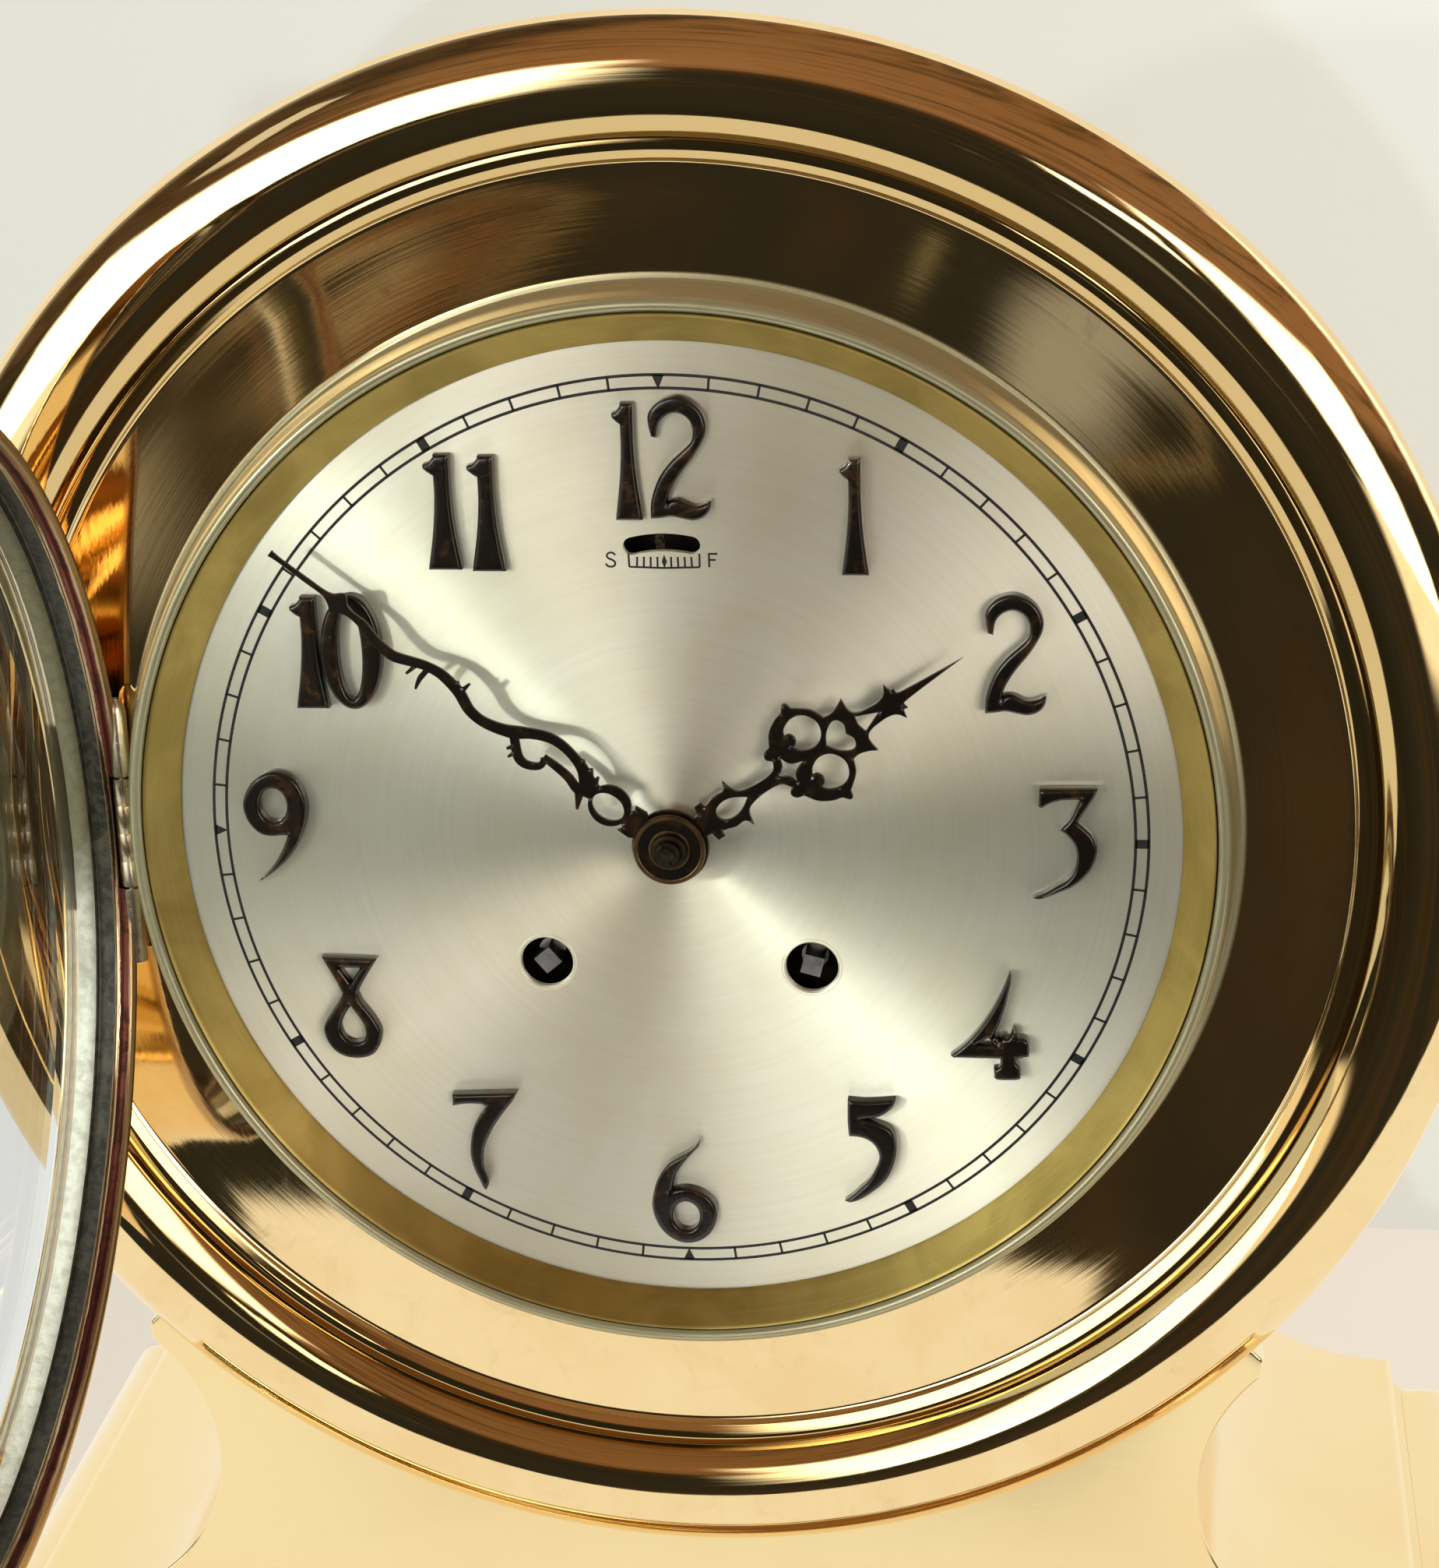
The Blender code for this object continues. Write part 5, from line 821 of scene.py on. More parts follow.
def turned_brass():
    """Polished brass with turned lines, clouds, small marks, tarnish, painted shade round the bead and a
    grey-green collar.
    """
    look = Look("turned_brass", BRASS, 1.0, 0.03)
    spot = look.place()
    radius, lines = look.turning(spot)
    cloud = look.noise(spot, 0.035, 4.0, 0.6, 0.6)
    fine = look.noise(lines, 6.0, 3.0, 0.6)
    coarse = look.noise(lines, 1.1, 2.0, 0.5)
    marks = look.span(look.noise(spot, 0.55, 3.0, 0.7, 2.0), 0.68, 0.76)
    tone = look.tint(cloud, (0.35, 0.7), BRASS, BRASS_WARM)
    film = look.times(look.span(look.noise(spot, 0.09, 5.0, 0.7, 1.0), 0.52, 0.82), 0.22)
    tone = look.mix(film, tone, BRASS_DARK)
    tone = look.mix(look.times(marks, 0.15), tone, BRASS_DARK)
    front = look.times(look.span(look.parts(spot)[1], RIM_BODY_BACK + 0.2, RIM_BODY_BACK), 0.85)
    # The collar takes a dull grey-green tone, less metallic and rougher.
    worn = look.times(look.span(radius, COLLAR_OUT_R + 0.6, COLLAR_OUT_R - 0.4), front)
    tone = look.mix(worn, tone, look.tint(fine, (0.35, 0.7), BRASS_PALE, (0.24, 0.22, 0.13)))
    # Painted shade: the brass is darker over the bead and out to the foot of the roll.
    bead_shade = look.times(look.span(radius, RING_R - 0.2, RING_R + 0.4),
                       look.span(radius, ROLL_CREST_R - 4.0, ROLL_CREST_R - 6.5))
    tone = look.mix(look.times(bead_shade, front), tone, BRASS_BEAD_SHADE)
    look.set("Metallic", look.scaled(worn, -0.5, 1.0))
    rough = look.scaled(look.span(fine, 0.35, 0.7), 0.025, 0.03)
    rough = look.scaled(marks, 0.05, look.scaled(film, 0.25, look.scaled(worn, 0.30, rough)))
    look.radial_sheen(0.2)
    return look.finish(tone, rough, look.scaled(coarse, 0.35, look.times(fine, 0.10)), 0.000014)


def dial_silver():
    """Silvered plate brushed in circles, with a warm cast, clouds and a few specks."""
    look = Look("dial_silver", (0.84, 0.81, 0.73), 0.80, 0.45)
    spot = look.place()
    _, lines = look.turning(spot)
    hair = look.noise(lines, 5.0, 4.0, 0.7)
    strokes = look.noise(lines, 0.9, 3.0, 0.6)
    cloud = look.noise(spot, 0.028, 3.0, 0.55, 0.4)
    specks = look.span(look.noise(spot, 0.9, 1.0, 0.5), 0.78, 0.80)
    tone = look.tint(cloud, (0.35, 0.7), (0.94, 0.89, 0.73), (0.89, 0.82, 0.62))
    tone = look.tint(strokes, (0.3, 0.75, 0.20), tone, (0.76, 0.68, 0.48))
    tone = look.tint(hair, (0.45, 0.75, 0.25), tone, (0.98, 0.95, 0.85))
    tone = look.mix(look.times(specks, 0.8), tone, (0.97, 0.97, 0.94))
    look.radial_sheen(0.95)
    rough = look.scaled(look.span(hair, 0.3, 0.7), 0.10, 0.40)
    return look.finish(tone, rough, look.scaled(strokes, 0.5, hair), 0.000012)


def matt_gilt():
    """Matt gilt of the sloping ring, a little green, with short turned strokes."""
    look = Look("matt_gilt", (0.50, 0.40, 0.15), 1.0, 0.42)
    spot = look.place()
    _, lines = look.turning(spot)
    strokes = look.noise(lines, 3.0, 4.0, 0.65)
    cloud = look.noise(spot, 0.05, 3.0, 0.6, 0.8)
    tone = look.tint(cloud, (0.3, 0.7), (0.46, 0.34, 0.10), (0.34, 0.25, 0.065))
    tone = look.tint(strokes, (0.4, 0.75, 0.25), tone, (0.56, 0.44, 0.17))
    look.radial_sheen(0.5)
    return look.finish(tone, look.scaled(strokes, 0.14, 0.33), strokes, 0.00002)


def dark_bronze(name, brown):
    """Dark bronze lacquer that is worn brown in places, over a smooth polished form."""
    look = Look(name, (0.012, 0.008, 0.005), 0.0, 0.2)
    spot = look.place()
    cloud = look.noise(spot, 0.22, 4.0, 0.6, 0.8)
    grain = look.noise(spot, 2.6, 3.0, 0.6)
    tone = look.tint(cloud, (0.50, 0.78), (0.008, 0.005, 0.003), brown)
    look.set("Metallic", look.span(cloud, 0.45, 0.8, 0.1, 0.6))
    look.set("Coat Weight", look.span(cloud, 0.3, 0.8, 0.5, 0.2))
    look.set("Coat Roughness", 0.08)
    return look.finish(tone, look.scaled(grain, 0.14, 0.10), grain, 0.00004)


def worn_metal(name, light, dark, rough, scale, stretch=(1.0, 1.0, 1.0)):
    """Plain worked metal: clouds, drawn grain, small pits and a dull film."""
    look = Look(name, light, 1.0, rough)
    spot = look.place()
    drawn = look.vector("MULTIPLY", spot, stretch)
    grain = look.noise(drawn, scale, 4.0, 0.65)
    cloud = look.noise(spot, scale * 0.12, 4.0, 0.6, 0.7)
    pits = look.span(look.noise(spot, scale * 0.8, 2.0, 0.5), 0.68, 0.74)
    tone = look.tint(cloud, (0.35, 0.72), light, dark)
    tone = look.mix(look.times(pits, 0.5), tone, tuple(v * 0.35 for v in dark))
    tone = look.tint(grain, (0.5, 0.8, 0.25), tone, tuple(min(v * 1.25, 1.0) for v in light))
    height = look.math("SUBTRACT", grain, pits)
    return look.finish(tone, look.scaled(grain, 0.22, rough - 0.08), height, 0.00003)


def pedestal_gold():
    """Pale gold satin casting under lacquer, with faint long clouds, fine grain and painted highlights on its
    edges.
    """
    look = Look("pedestal_gold", (0.92, 0.72, 0.37), 1.0, 0.16)
    spot = look.place()
    cloud = look.noise(spot, 0.012, 3.0, 0.5, 0.3)
    drawn = look.noise(look.vector("MULTIPLY", spot, (0.25, 1.0, 1.0)), 0.5, 4.0, 0.6)
    grain = look.noise(spot, 3.0, 2.0, 0.5)
    tone = look.tint(cloud, (0.35, 0.7), (0.935, 0.74, 0.385), (0.93, 0.70, 0.36))
    tone = look.tint(drawn, (0.45, 0.8, 0.06), tone, (0.82, 0.62, 0.31))
    # Painted highlight: the sharp edges are made paler, found from the mesh's pointiness.
    edge = look.span(look.add("ShaderNodeNewGeometry", {}).outputs["Pointiness"], 0.52, 0.60)
    tone = look.mix(look.times(edge, 0.5), tone, (1.0, 0.88, 0.60))
    look.set("Coat Weight", look.span(cloud, 0.2, 0.8, 0.3, 0.15))
    look.set("Coat Roughness", 0.12)
    rough = look.scaled(grain, 0.03, look.scaled(drawn, 0.04, 0.13))
    return look.finish(tone, rough, look.scaled(drawn, 0.3, grain), 0.000006)


def clear_glass():
    """Clear glass with a trace of dust and wiping marks."""
    look = Look("clear_glass", (0.97, 1.0, 0.99), 0.0, 0.0)
    spot = look.place(True)
    wiped = look.noise(look.vector("MULTIPLY", spot, (0.3, 1.0, 1.0)), 0.06, 4.0, 0.6, 1.2)
    dust = look.span(look.noise(spot, 1.6, 2.0, 0.6), 0.72, 0.76)
    look.set("Roughness", look.scaled(dust, 0.12, look.span(wiped, 0.55, 0.8, 0.0, 0.03)))
    look.set("Base Color", look.mix(look.times(dust, 0.3), (0.97, 1.0, 0.99), (0.80, 0.82, 0.80)))
    look.set("Transmission Weight", 1.0)
    look.set("IOR", 1.5)
    clear = look.add("ShaderNodeBsdfTransparent", {"Color": (0.90, 0.93, 0.91, 1.0)})
    look.swap(look.add("ShaderNodeLightPath", {}).outputs["Is Shadow Ray"], clear)
    return look.mat


def chalky_plaster():
    """Pale dry plaster, a little green, with soft lumps, dirt in places and painted shade over its upper part.
    """
    look = Look("chalky_plaster", (0.62, 0.61, 0.52), 0.0, 0.85)
    spot = look.place(True)
    lumps = look.noise(spot, 0.45, 4.0, 0.55)
    cloud = look.noise(spot, 0.06, 4.0, 0.6)
    tone = look.tint(lumps, (0.30, 0.60), (0.72, 0.68, 0.54), (0.95, 0.91, 0.76))
    tone = look.tint(cloud, (0.56, 0.78, 0.45), tone, (0.34, 0.28, 0.19))
    # Painted shade: above a wavy line across the middle the plaster turns dark.
    rise = look.scaled(look.math("SUBTRACT", cloud, 0.5), 60.0, look.parts(spot)[2])
    tone = look.tint(rise, (-48.0, 6.0), tone, look.mix(lumps, (0.115, 0.098, 0.050), (0.21, 0.185, 0.105)))
    return look.finish(tone, look.span(lumps, 0.2, 0.8, 0.95, 0.75), lumps, 0.0004)


def patinated_brass():
    """Brass of the bezel: polished in front, tan at the rubbed back edge, maroon and mottled green inside."""
    look = Look("patinated_brass", BRASS, 1.0, 0.2)
    spot = look.place(True)
    radius, lines = look.turning(spot)
    height = look.times(look.parts(spot)[1], -1.0)
    cloud = look.noise(spot, 0.10, 5.0, 0.65, 0.8)
    spots = look.noise(spot, 0.55, 4.0, 0.65, 0.5)
    streak = look.noise(lines, 1.2, 4.0, 0.6)
    front = look.tint(cloud, (0.3, 0.7), BRASS, BRASS_WARM)
    edge = look.tint(streak, (0.3, 0.7), (0.60, 0.44, 0.28), (0.40, 0.26, 0.14))
    bright = look.tint(height, (1.6, 3.0), edge, front)
    maroon = look.tint(streak, (0.35, 0.7), (0.075, 0.018, 0.014), (0.24, 0.080, 0.050))
    maroon = look.tint(cloud, (0.45, 0.65, 0.8), maroon, (0.03, 0.014, 0.010))
    green = look.tint(spots, (0.40, 0.62), (0.015, 0.013, 0.007), (0.050, 0.043, 0.024))
    green = look.tint(cloud, (0.52, 0.70, 0.75), green, (0.085, 0.070, 0.042))
    wavy = look.scaled(look.math("SUBTRACT", cloud, 0.5), 1.0, height)
    inner = look.span(radius, 122.3, 121.2)
    low = look.times(look.span(wavy, 1.0, 1.6), look.span(wavy, 3.7, 3.3))
    high = look.times(look.span(wavy, 4.1, 4.5), look.span(height, 9.0, 8.4))
    tan = look.times(look.span(wavy, 3.3, 3.7), look.span(wavy, 4.5, 4.1))
    tone = look.mix(look.times(inner, low), bright, maroon)
    tone = look.mix(look.times(inner, tan), tone, (0.42, 0.31, 0.19))
    tone = look.mix(look.times(inner, high), tone, green)
    look.set("Metallic", look.span(look.times(inner, high), 0.0, 1.0, 1.0, 0.15))
    dull = look.times(inner, look.math("MAXIMUM", low, high))
    rubbed = look.times(look.span(height, 3.0, 1.6), 0.16)
    rough = look.scaled(dull, 0.26, look.scaled(streak, 0.06, 0.04))
    height = look.scaled(look.times(spots, dull), 2.0, streak)
    return look.finish(tone, look.math("ADD", rough, rubbed), height, 0.00004)


def green_felt():
    """Short matted wool."""
    look = Look("green_felt", (0.035, 0.12, 0.06), 0.0, 0.95)
    spot = look.place()
    fibres = look.noise(spot, 3.0, 5.0, 0.75, 3.0)
    cloud = look.noise(spot, 0.1, 3.0, 0.5)
    tone = look.tint(fibres, (0.3, 0.7), (0.02, 0.075, 0.035), (0.06, 0.17, 0.09))
    tone = look.tint(cloud, (0.4, 0.8, 0.4), tone, (0.10, 0.16, 0.08))
    look.set("Sheen Weight", 0.5)
    return look.finish(tone, look.span(fibres, 0.0, 1.0, 0.85, 1.0), fibres, 0.0003)


def printers_ink():
    """Black wax ink, a little uneven."""
    look = Look("black_ink", (0.008, 0.007, 0.006), 0.0, 0.45)
    grain = look.noise(look.place(), 1.5, 4.0, 0.65)
    tone = look.tint(grain, (0.4, 0.75), (0.006, 0.005, 0.004), (0.022, 0.019, 0.015))
    return look.finish(tone, look.scaled(grain, 0.25, 0.3), grain, 0.00003)


def rim_section():
    """Return the rim's profile: collar, flat ring, bead, roll and the ledge under the dial."""
    bead_y = RING_Y - BEAD_H
    profile = [(COLLAR_IN_R, LEDGE_Y)] + away((COLLAR_IN_R, -REFLECTOR_H), (0.0, 0.2), (0.25, -0.15))
    profile += arc(1.05, -70.0, 60.0, 8, (COLLAR_IN_R + 1.3, -COLLAR_H + 0.75), -0.75)
    profile += away((COLLAR_OUT_R, -COLLAR_H), (-2.75, 1.3), (-2.6, 2.0)) + [(COLLAR_OUT_R - 2.0, -0.5)]
    profile += away((COLLAR_OUT_R, RING_Y), (-1.3, -1.0), (-0.9, -0.3), (0.0, 0.0), (0.5, 0.0))
    profile += [(COLLAR_OUT_R + (RING_R - 1.4 - COLLAR_OUT_R) * t, RING_Y) for t in (0.25, 0.5, 0.75, 1.0)]
    profile += away((RING_R, RING_Y), (-0.9, -0.02), (-0.5, -0.15), (-0.2, -0.4), (0.0, -0.55), (0.1, -0.8),
                    (0.3, -0.95))
    profile += away((RING_R + 0.3, RING_Y - 0.95), *((0.5 * k, -0.23 * k) for k in (1, 2, 3, 4)))
    profile += away((RING_R, bead_y), (2.8, 0.12), (3.25, 0.0), (3.7, 0.0), (4.2, 0.06), (BEAD_W + 0.3, 0.16),
                    (BEAD_W + 0.75, 0.28))
    face = arc(ROLL_BOW, ROLL_IN_ANGLE, ROLL_OUT_ANGLE, 72, (ROLL_CREST_R, ROLL_BOW - ROLL_CREST_H), -ROLL_BOW)
    profile += [(face[0][0] - 0.32, bead_y + 0.1)] + away(face[0], (-0.26, 0.3), (-0.14, 0.13)) + face
    profile += away((ROLL_R, RIM_BACK_Y), (-0.65, -1.5), (-0.36, -1.0), (-0.12, -0.5), (0.0, -0.2), (-0.2, 0.0),
                    (-1.3, 0.0))
    profile += [(DRUM_R, RIM_BACK_Y), (DRUM_R, RIM_BODY_BACK), (OPENING_R, RIM_BODY_BACK), (OPENING_R, LEDGE_Y)]
    return profile


def make_case(brass, screw_steel):
    """Rim, drum, back cover and its screws."""
    notch = block((HINGE[0] - 6.0, -COLLAR_H - 2.0, -NOTCH_HALF), (NOTCH_X, RING_Y - 1.4, NOTCH_HALF))
    rim = cut(turned(rim_section(), ROUND_STEPS), notch)
    piece("rim", rim, "case", brass, ("case_rim",), TURNED_CREASE)

    profile = away((DRUM_R, DRUM_FRONT_Y), (-DRUM_WALL, 0.0), (-0.4, 0.0), (0.0, 0.4))
    profile += away((DRUM_R, DRUM_BACK_Y), (0.0, -0.4), (-0.4, 0.0), (-DRUM_WALL, 0.0))
    piece("drum", turned(profile, ROUND_STEPS), "case", brass, ("case_drum",), TURNED_CREASE)

    back = COVER_Y + COVER_T
    profile = [(0.0, COVER_Y), (DRUM_R, COVER_Y), (DRUM_R, back - 0.9)]
    profile += arc(0.9, 90.0, 0.0, 6, (DRUM_R - 0.9, back - 0.9), 0.9)
    profile += away((COVER_SCREW_R, back), (-5.2, 0.0), (-5.6, -0.35), (-6.4, -0.35), (-6.8, 0.0))
    profile += away((COVER_LINE_R, back), (0.8, 0.0), (0.4, -0.3), (-0.4, -0.3), (-0.8, 0.0)) + [(0.0, back)]
    piece("cover", turned(profile, ROUND_STEPS), "case", brass, ("back_cover",), TURNED_CREASE)
    for i, angle in enumerate(COVER_SCREW_ANGLES):
        centre = polar(COVER_SCREW_R, angle)
        seat = back + SEAT
        dome = arc(4.0, 90.0, 0.0, 10, (0.0, seat + 0.7), 1.5)
        profile = [(0.0, seat), (3.8, seat), (4.0, seat + 0.2)] + dome[:-1] + [(0.0, seat + 2.2)]
        x, z = centre
        slot = block((x - 6.0, seat + 1.1, z - 0.5), (x + 6.0, seat + 3.2, z + 0.5))
        head = cut(turned(profile, 48, centre), slot)
        piece(f"cover_screw_head_{i + 1}", head, "case", screw_steel, (f"cover_screw_{i + 1}",))


def make_dial(silver, gilt, ink):
    """Dial plate with lipped holes, its printed track and scale, and the sloping ring."""
    low = -SLOT_HALF_ANGLE - SLOT_SKEW
    high = SLOT_HALF_ANGLE - SLOT_SKEW
    slot = arc(SLOT_R + SLOT_HALF_WIDTH, low, high, 24, SLOT_CENTRE)
    slot += arc(SLOT_HALF_WIDTH, high + 10.0, high + 170.0, 12, polar(SLOT_R, high, SLOT_CENTRE))
    slot += arc(SLOT_R - SLOT_HALF_WIDTH, high, low, 24, SLOT_CENTRE)
    slot += arc(SLOT_HALF_WIDTH, low + 190.0, low + 350.0, 12, polar(SLOT_R, low, SLOT_CENTRE))
    lip_r = WIND_HOLE_R + 1.0
    holes = [circle(lip_r, 72, place) for place in WIND_PLACES] + [circle(PIPE_HOLE_R, 48), slot]
    parts = [slab([circle(PLATE_R, ROUND_STEPS)], holes, 0.0, PLATE_T)]
    for place in WIND_PLACES:
        profile = [(lip_r, PLATE_T), (lip_r, 0.0)]
        profile += arc(0.42, -80.0, 80.0, 8, (lip_r - 0.48, 0.05), -0.16)
        profile += [(WIND_HOLE_R, 0.35), (WIND_HOLE_R, PLATE_T)]
        parts.append(turned(profile, 72, place))
    piece("dial", joined(*parts), "case", silver, ("dial_plate",), 20.0)

    ring = [(OPENING_R, -SEAT), (PLATE_R, -SEAT)]
    ring += away((PLATE_R, -REFLECTOR_H), (0.0, 0.25), (-0.2, 0.0), (-0.6, 0.15))
    slope = [(-5.8 * t, 5.4 * t) for t in (0.0, 0.25, 0.5, 0.75, 1.0)]
    ring += away((PLATE_R - 0.9, -REFLECTOR_H + 0.45), *slope)
    ring += [(OPENING_R + 0.15, -SEAT - 0.3)]
    ring = turned(ring, ROUND_STEPS)
    piece("sloping_ring", ring, "case", gilt, ("reflector_ring",), FITTING_CREASE)

    inner, outer = TRACK_R - TRACK_HALF, TRACK_R + TRACK_HALF
    shapes = []
    for r in (inner, outer):
        shapes.append(flat_ring(circle(r + LINE_W / 2, ROUND_STEPS), circle(r - LINE_W / 2, ROUND_STEPS)))
    for minute in range(60):
        half = BLOCK_HALF if minute % 5 == 0 else LINE_W * TICK_SHARE
        mark = [(-half, outer), (half, outer), (half, inner), (-half, inner)]
        if minute in (0, 30, 45):
            mark = [(-POINT_HALF, outer), (POINT_HALF, outer), (0.0, inner if minute else inner - 0.3)]
        shapes.append(flat_shape(turned_flat(mark, minute * 6.0)))
    piece("minute_track", joined(*shapes), "case", ink)

    left, low, right = (-SCALE_HALF, SCALE_Z), (0.0, SCALE_Z - 0.2), (SCALE_HALF, SCALE_Z)
    lines = [((-SCALE_HALF - 0.1, SCALE_Z + 2.9), left), ((SCALE_HALF, SCALE_Z + 2.9), right)]
    lines += [(left, low), (low, right)]
    lines += [((i * 1.45, SCALE_Z), (i * 1.42, SCALE_Z + 2.2)) for i in (-4, -3, -2, -1, 1, 2, 3, 4)]
    letters = (LETTER_S, LETTER_F_STEM, LETTER_F_TOP, LETTER_F_BAR)
    shapes = [flat_stroke(line) for line in lines]
    shapes.append(flat_shape(away((0.0, SCALE_Z + 1.2), (-0.55, 0.0), (0.0, 1.5), (0.55, 0.0), (0.0, -1.5))))
    shapes += [flat_stroke(line) for line in letters]
    piece("regulator_scale", joined(*shapes), "case", ink)


def flat_shape(outline):
    """Return a thin printed shape on the dial."""
    mesh = bmesh.new()
    mesh.faces.new([mesh.verts.new((x, -INK_H, z)) for x, z in outline])
    if mesh.faces[:][0].normal.y > 0:
        bmesh.ops.reverse_faces(mesh, faces=mesh.faces)
    return mesh


def flat_ring(outer, inner):
    """Return a thin printed ring between two loops with as many points."""
    mesh = bmesh.new()
    band(mesh, *([mesh.verts.new((x, -INK_H, z)) for x, z in loop] for loop in (outer, inner)))
    return mesh


def flat_stroke(points):
    """Return a thin printed line of the regulator's scale."""
    mesh = bmesh.new()
    outline = strand([(*point, SCALE_LINE_W) for point in points], 2)
    verts = [mesh.verts.new((x, -INK_H, z)) for x, z in outline]
    for k in range(len(verts) // 2 - 1):
        mesh.faces.new([verts[k], verts[k + 1], verts[-k - 2], verts[-k - 1]])
    return mesh


def make_numerals(bronze):
    """Applied numerals with rounded polished edges."""
    wide_one = [(x * 1.25, *rest) for x, *rest in ONE]
    zero = circle(6.6, 72, (2.1, 0.0), 12.7)
    zero_hole = circle(2.6, 60, (1.8, -0.2), 10.3)
    numerals = (
        ("1", ONE, (), (40.2, 71.5)),
        ("2", TWO, (), (72.0, 42.0)),
        ("3", THREE, (), (83.5, 1.0)),
        ("4", FOUR, (FOUR_HOLE,), (68.0, -41.5)),
        ("5", FIVE, (), (41.0, -71.5)),
        ("6", SIX, (circle(3.0, 48, (0.0, -5.9), 3.5),), (0.0, -83.0)),
        ("7", SEVEN, (), (-44.0, -71.5)),
        ("8", EIGHT, (EIGHT_TOP, EIGHT_LOW), (-72.5, -39.5)),
        ("9", NINE, (circle(3.0, 48, (-0.9, 5.2), 3.9),), (-86.0, 1.5)),
        ("10_one", wide_one, (), (-76.3, 41.3)),
        ("10_zero", zero, (zero_hole,), (-69.5, 41.5)),
        ("11_left", wide_one, (), (-45.8, 72.2)),
        ("11_right", wide_one, (), (-36.5, 71.9)),
        ("12_one", ONE, (), (-6.5, 83.1)),
        ("12_two", TWO, (), (3.2, 83.6)),
    )
    for name, outline, inside, centre in numerals:
        shapes = [away(centre, *smooth(shape, 0.5)) for shape in (outline, *inside)]
        shape = relief(shapes[:1], shapes[1:], -SEAT - NUMERAL_T, -SEAT, NUMERAL_BEVEL)
        piece("figure_" + name, shape, "case", bronze, ("numeral_" + name,), CAST_CREASE)


def make_hands(bronze, hub_bronze, brass):
    """Pierced hands, their collet and nut."""
    edge = smooth(HOUR_EDGE + tuple((-x, *rest) for x, *rest in reversed(HOUR_EDGE[1:])), 0.6)
    left_ring = [(-x, *rest) for x, *rest in reversed(HOUR_RING)]
    holes = (HOUR_SLOT, HOUR_HEART, HOUR_RING, left_ring, HOUR_DIAMOND, HOUR_DROP)
    solids = [turned_flat(shape, HOUR_ANGLE) for shape in (edge, circle(HOUR_HUB_R, 96))]
    holes = [turned_flat(smooth(shape, 0.6), HOUR_ANGLE) for shape in holes]
    hour = relief(solids, holes, HOUR_HAND_Y, HOUR_HAND_Y + HOUR_HAND_T, HOUR_BEVEL)
    piece("hour_pointer", hour, "hour_works", bronze, ("hour_hand",), CAST_CREASE)

    shapes = []
    for line, finer in ((MINUTE_STEM, 3), (MINUTE_LEFT, 2), (MINUTE_INNER, 2)):
        shapes.append(strand([(x, z, w * HAND_SWELL) for x, z, w in line], finer))
    shapes += [strand(leaf) for leaf in MINUTE_LEAVES] + [[point[:2] for point in MINUTE_BLOCK]]
    shapes += [circle(4.6, 64, (0.2, 15.8), 4.7), circle(MINUTE_HUB_R - 0.6, 96)]
    shapes = [turned_flat(shape, MINUTE_ANGLE) for shape in shapes]
    loop = turned_flat(circle(2.7, 48, (-0.2, 15.9), 3.7), MINUTE_ANGLE)
    minute = relief(shapes, [loop], MINUTE_HAND_Y, MINUTE_HAND_Y + MINUTE_HAND_T, MINUTE_BEVEL)
    piece("minute_pointer", minute, "minute_works", bronze, ("minute_hand",), CAST_CREASE)

    front = MINUTE_HAND_Y - 0.05
    hub = [(HUB_BORE_R, front + 0.7)] + away((MINUTE_HUB_R, front), (0.0, 0.7), (0.0, 0.25), (-0.25, 0.0),
                                             (-0.9, -0.02), (-1.3, 0.18))
    hub += away((COLLET_R, front), (0.7, 0.18), (0.4, 0.0)) + [(HUB_BORE_R, front)]
    piece("hub_disc", turned(hub, 128), "minute_works", hub_bronze, (), TURNED_CREASE)

    collet_front = MINUTE_HAND_Y - SEAT - COLLET_T
    profile = away((HAND_BORE_R, collet_front), (0.0, 0.15), (0.9, 0.0)) + [(COLLET_R - 1.3, collet_front)]
    profile += arc(0.9, 0.0, 90.0, 6, (COLLET_R - 0.9, collet_front + 0.6), -0.6)
    profile += [(COLLET_R, collet_front + COLLET_T), (HAND_BORE_R, collet_front + COLLET_T)]
    collet = turned(profile, 96)
    piece("collet", collet, "minute_works", brass, ("hand_collet",), TURNED_CREASE)
    nut_back = collet_front - SEAT
    nut_front = nut_back - NUT_T
    profile = away((0.0, nut_front), (0.0, 0.5), (1.2, 0.5), (1.45, 0.1), (2.2, 0.0), (2.55, 0.15), (2.7, 0.5))
    profile += [(2.7, nut_back), (0.0, nut_back)]
    slot = block((-6.0, nut_front - 1.0, -NUT_SLOT / 2), (6.0, nut_front + 0.45, NUT_SLOT / 2))
    nut = cut(turned(profile, 96), slot)
    turn = Matrix.Rotation(math.radians(70.0), 4, "Y")
    bmesh.ops.transform(nut, matrix=turn, verts=nut.verts)
    piece("nut", nut, "minute_works", brass, ("hand_nut",), TURNED_CREASE)


def rounded_ring(half_x, half_y, radius, steps=6):
    """Return one level of a rectangle with rounded corners, in the clock's (x, y)."""
    points = []
    for start, sx, sy in ((0.0, 1, 1), (90.0, 1, -1), (180.0, -1, -1), (270.0, -1, 1)):
        points += arc(radius, start, start + 90.0, steps, (sx * (half_x - radius), sy * (half_y - radius)))
    return [(x, y - DIAL_Y) for x, y in points]


def stacked(levels):
    """Return the closed solid through levels of (ring, height above the table)."""
    return lofted([[(x, y, height - DIAL_Z) for x, y in ring] for ring, height in levels])


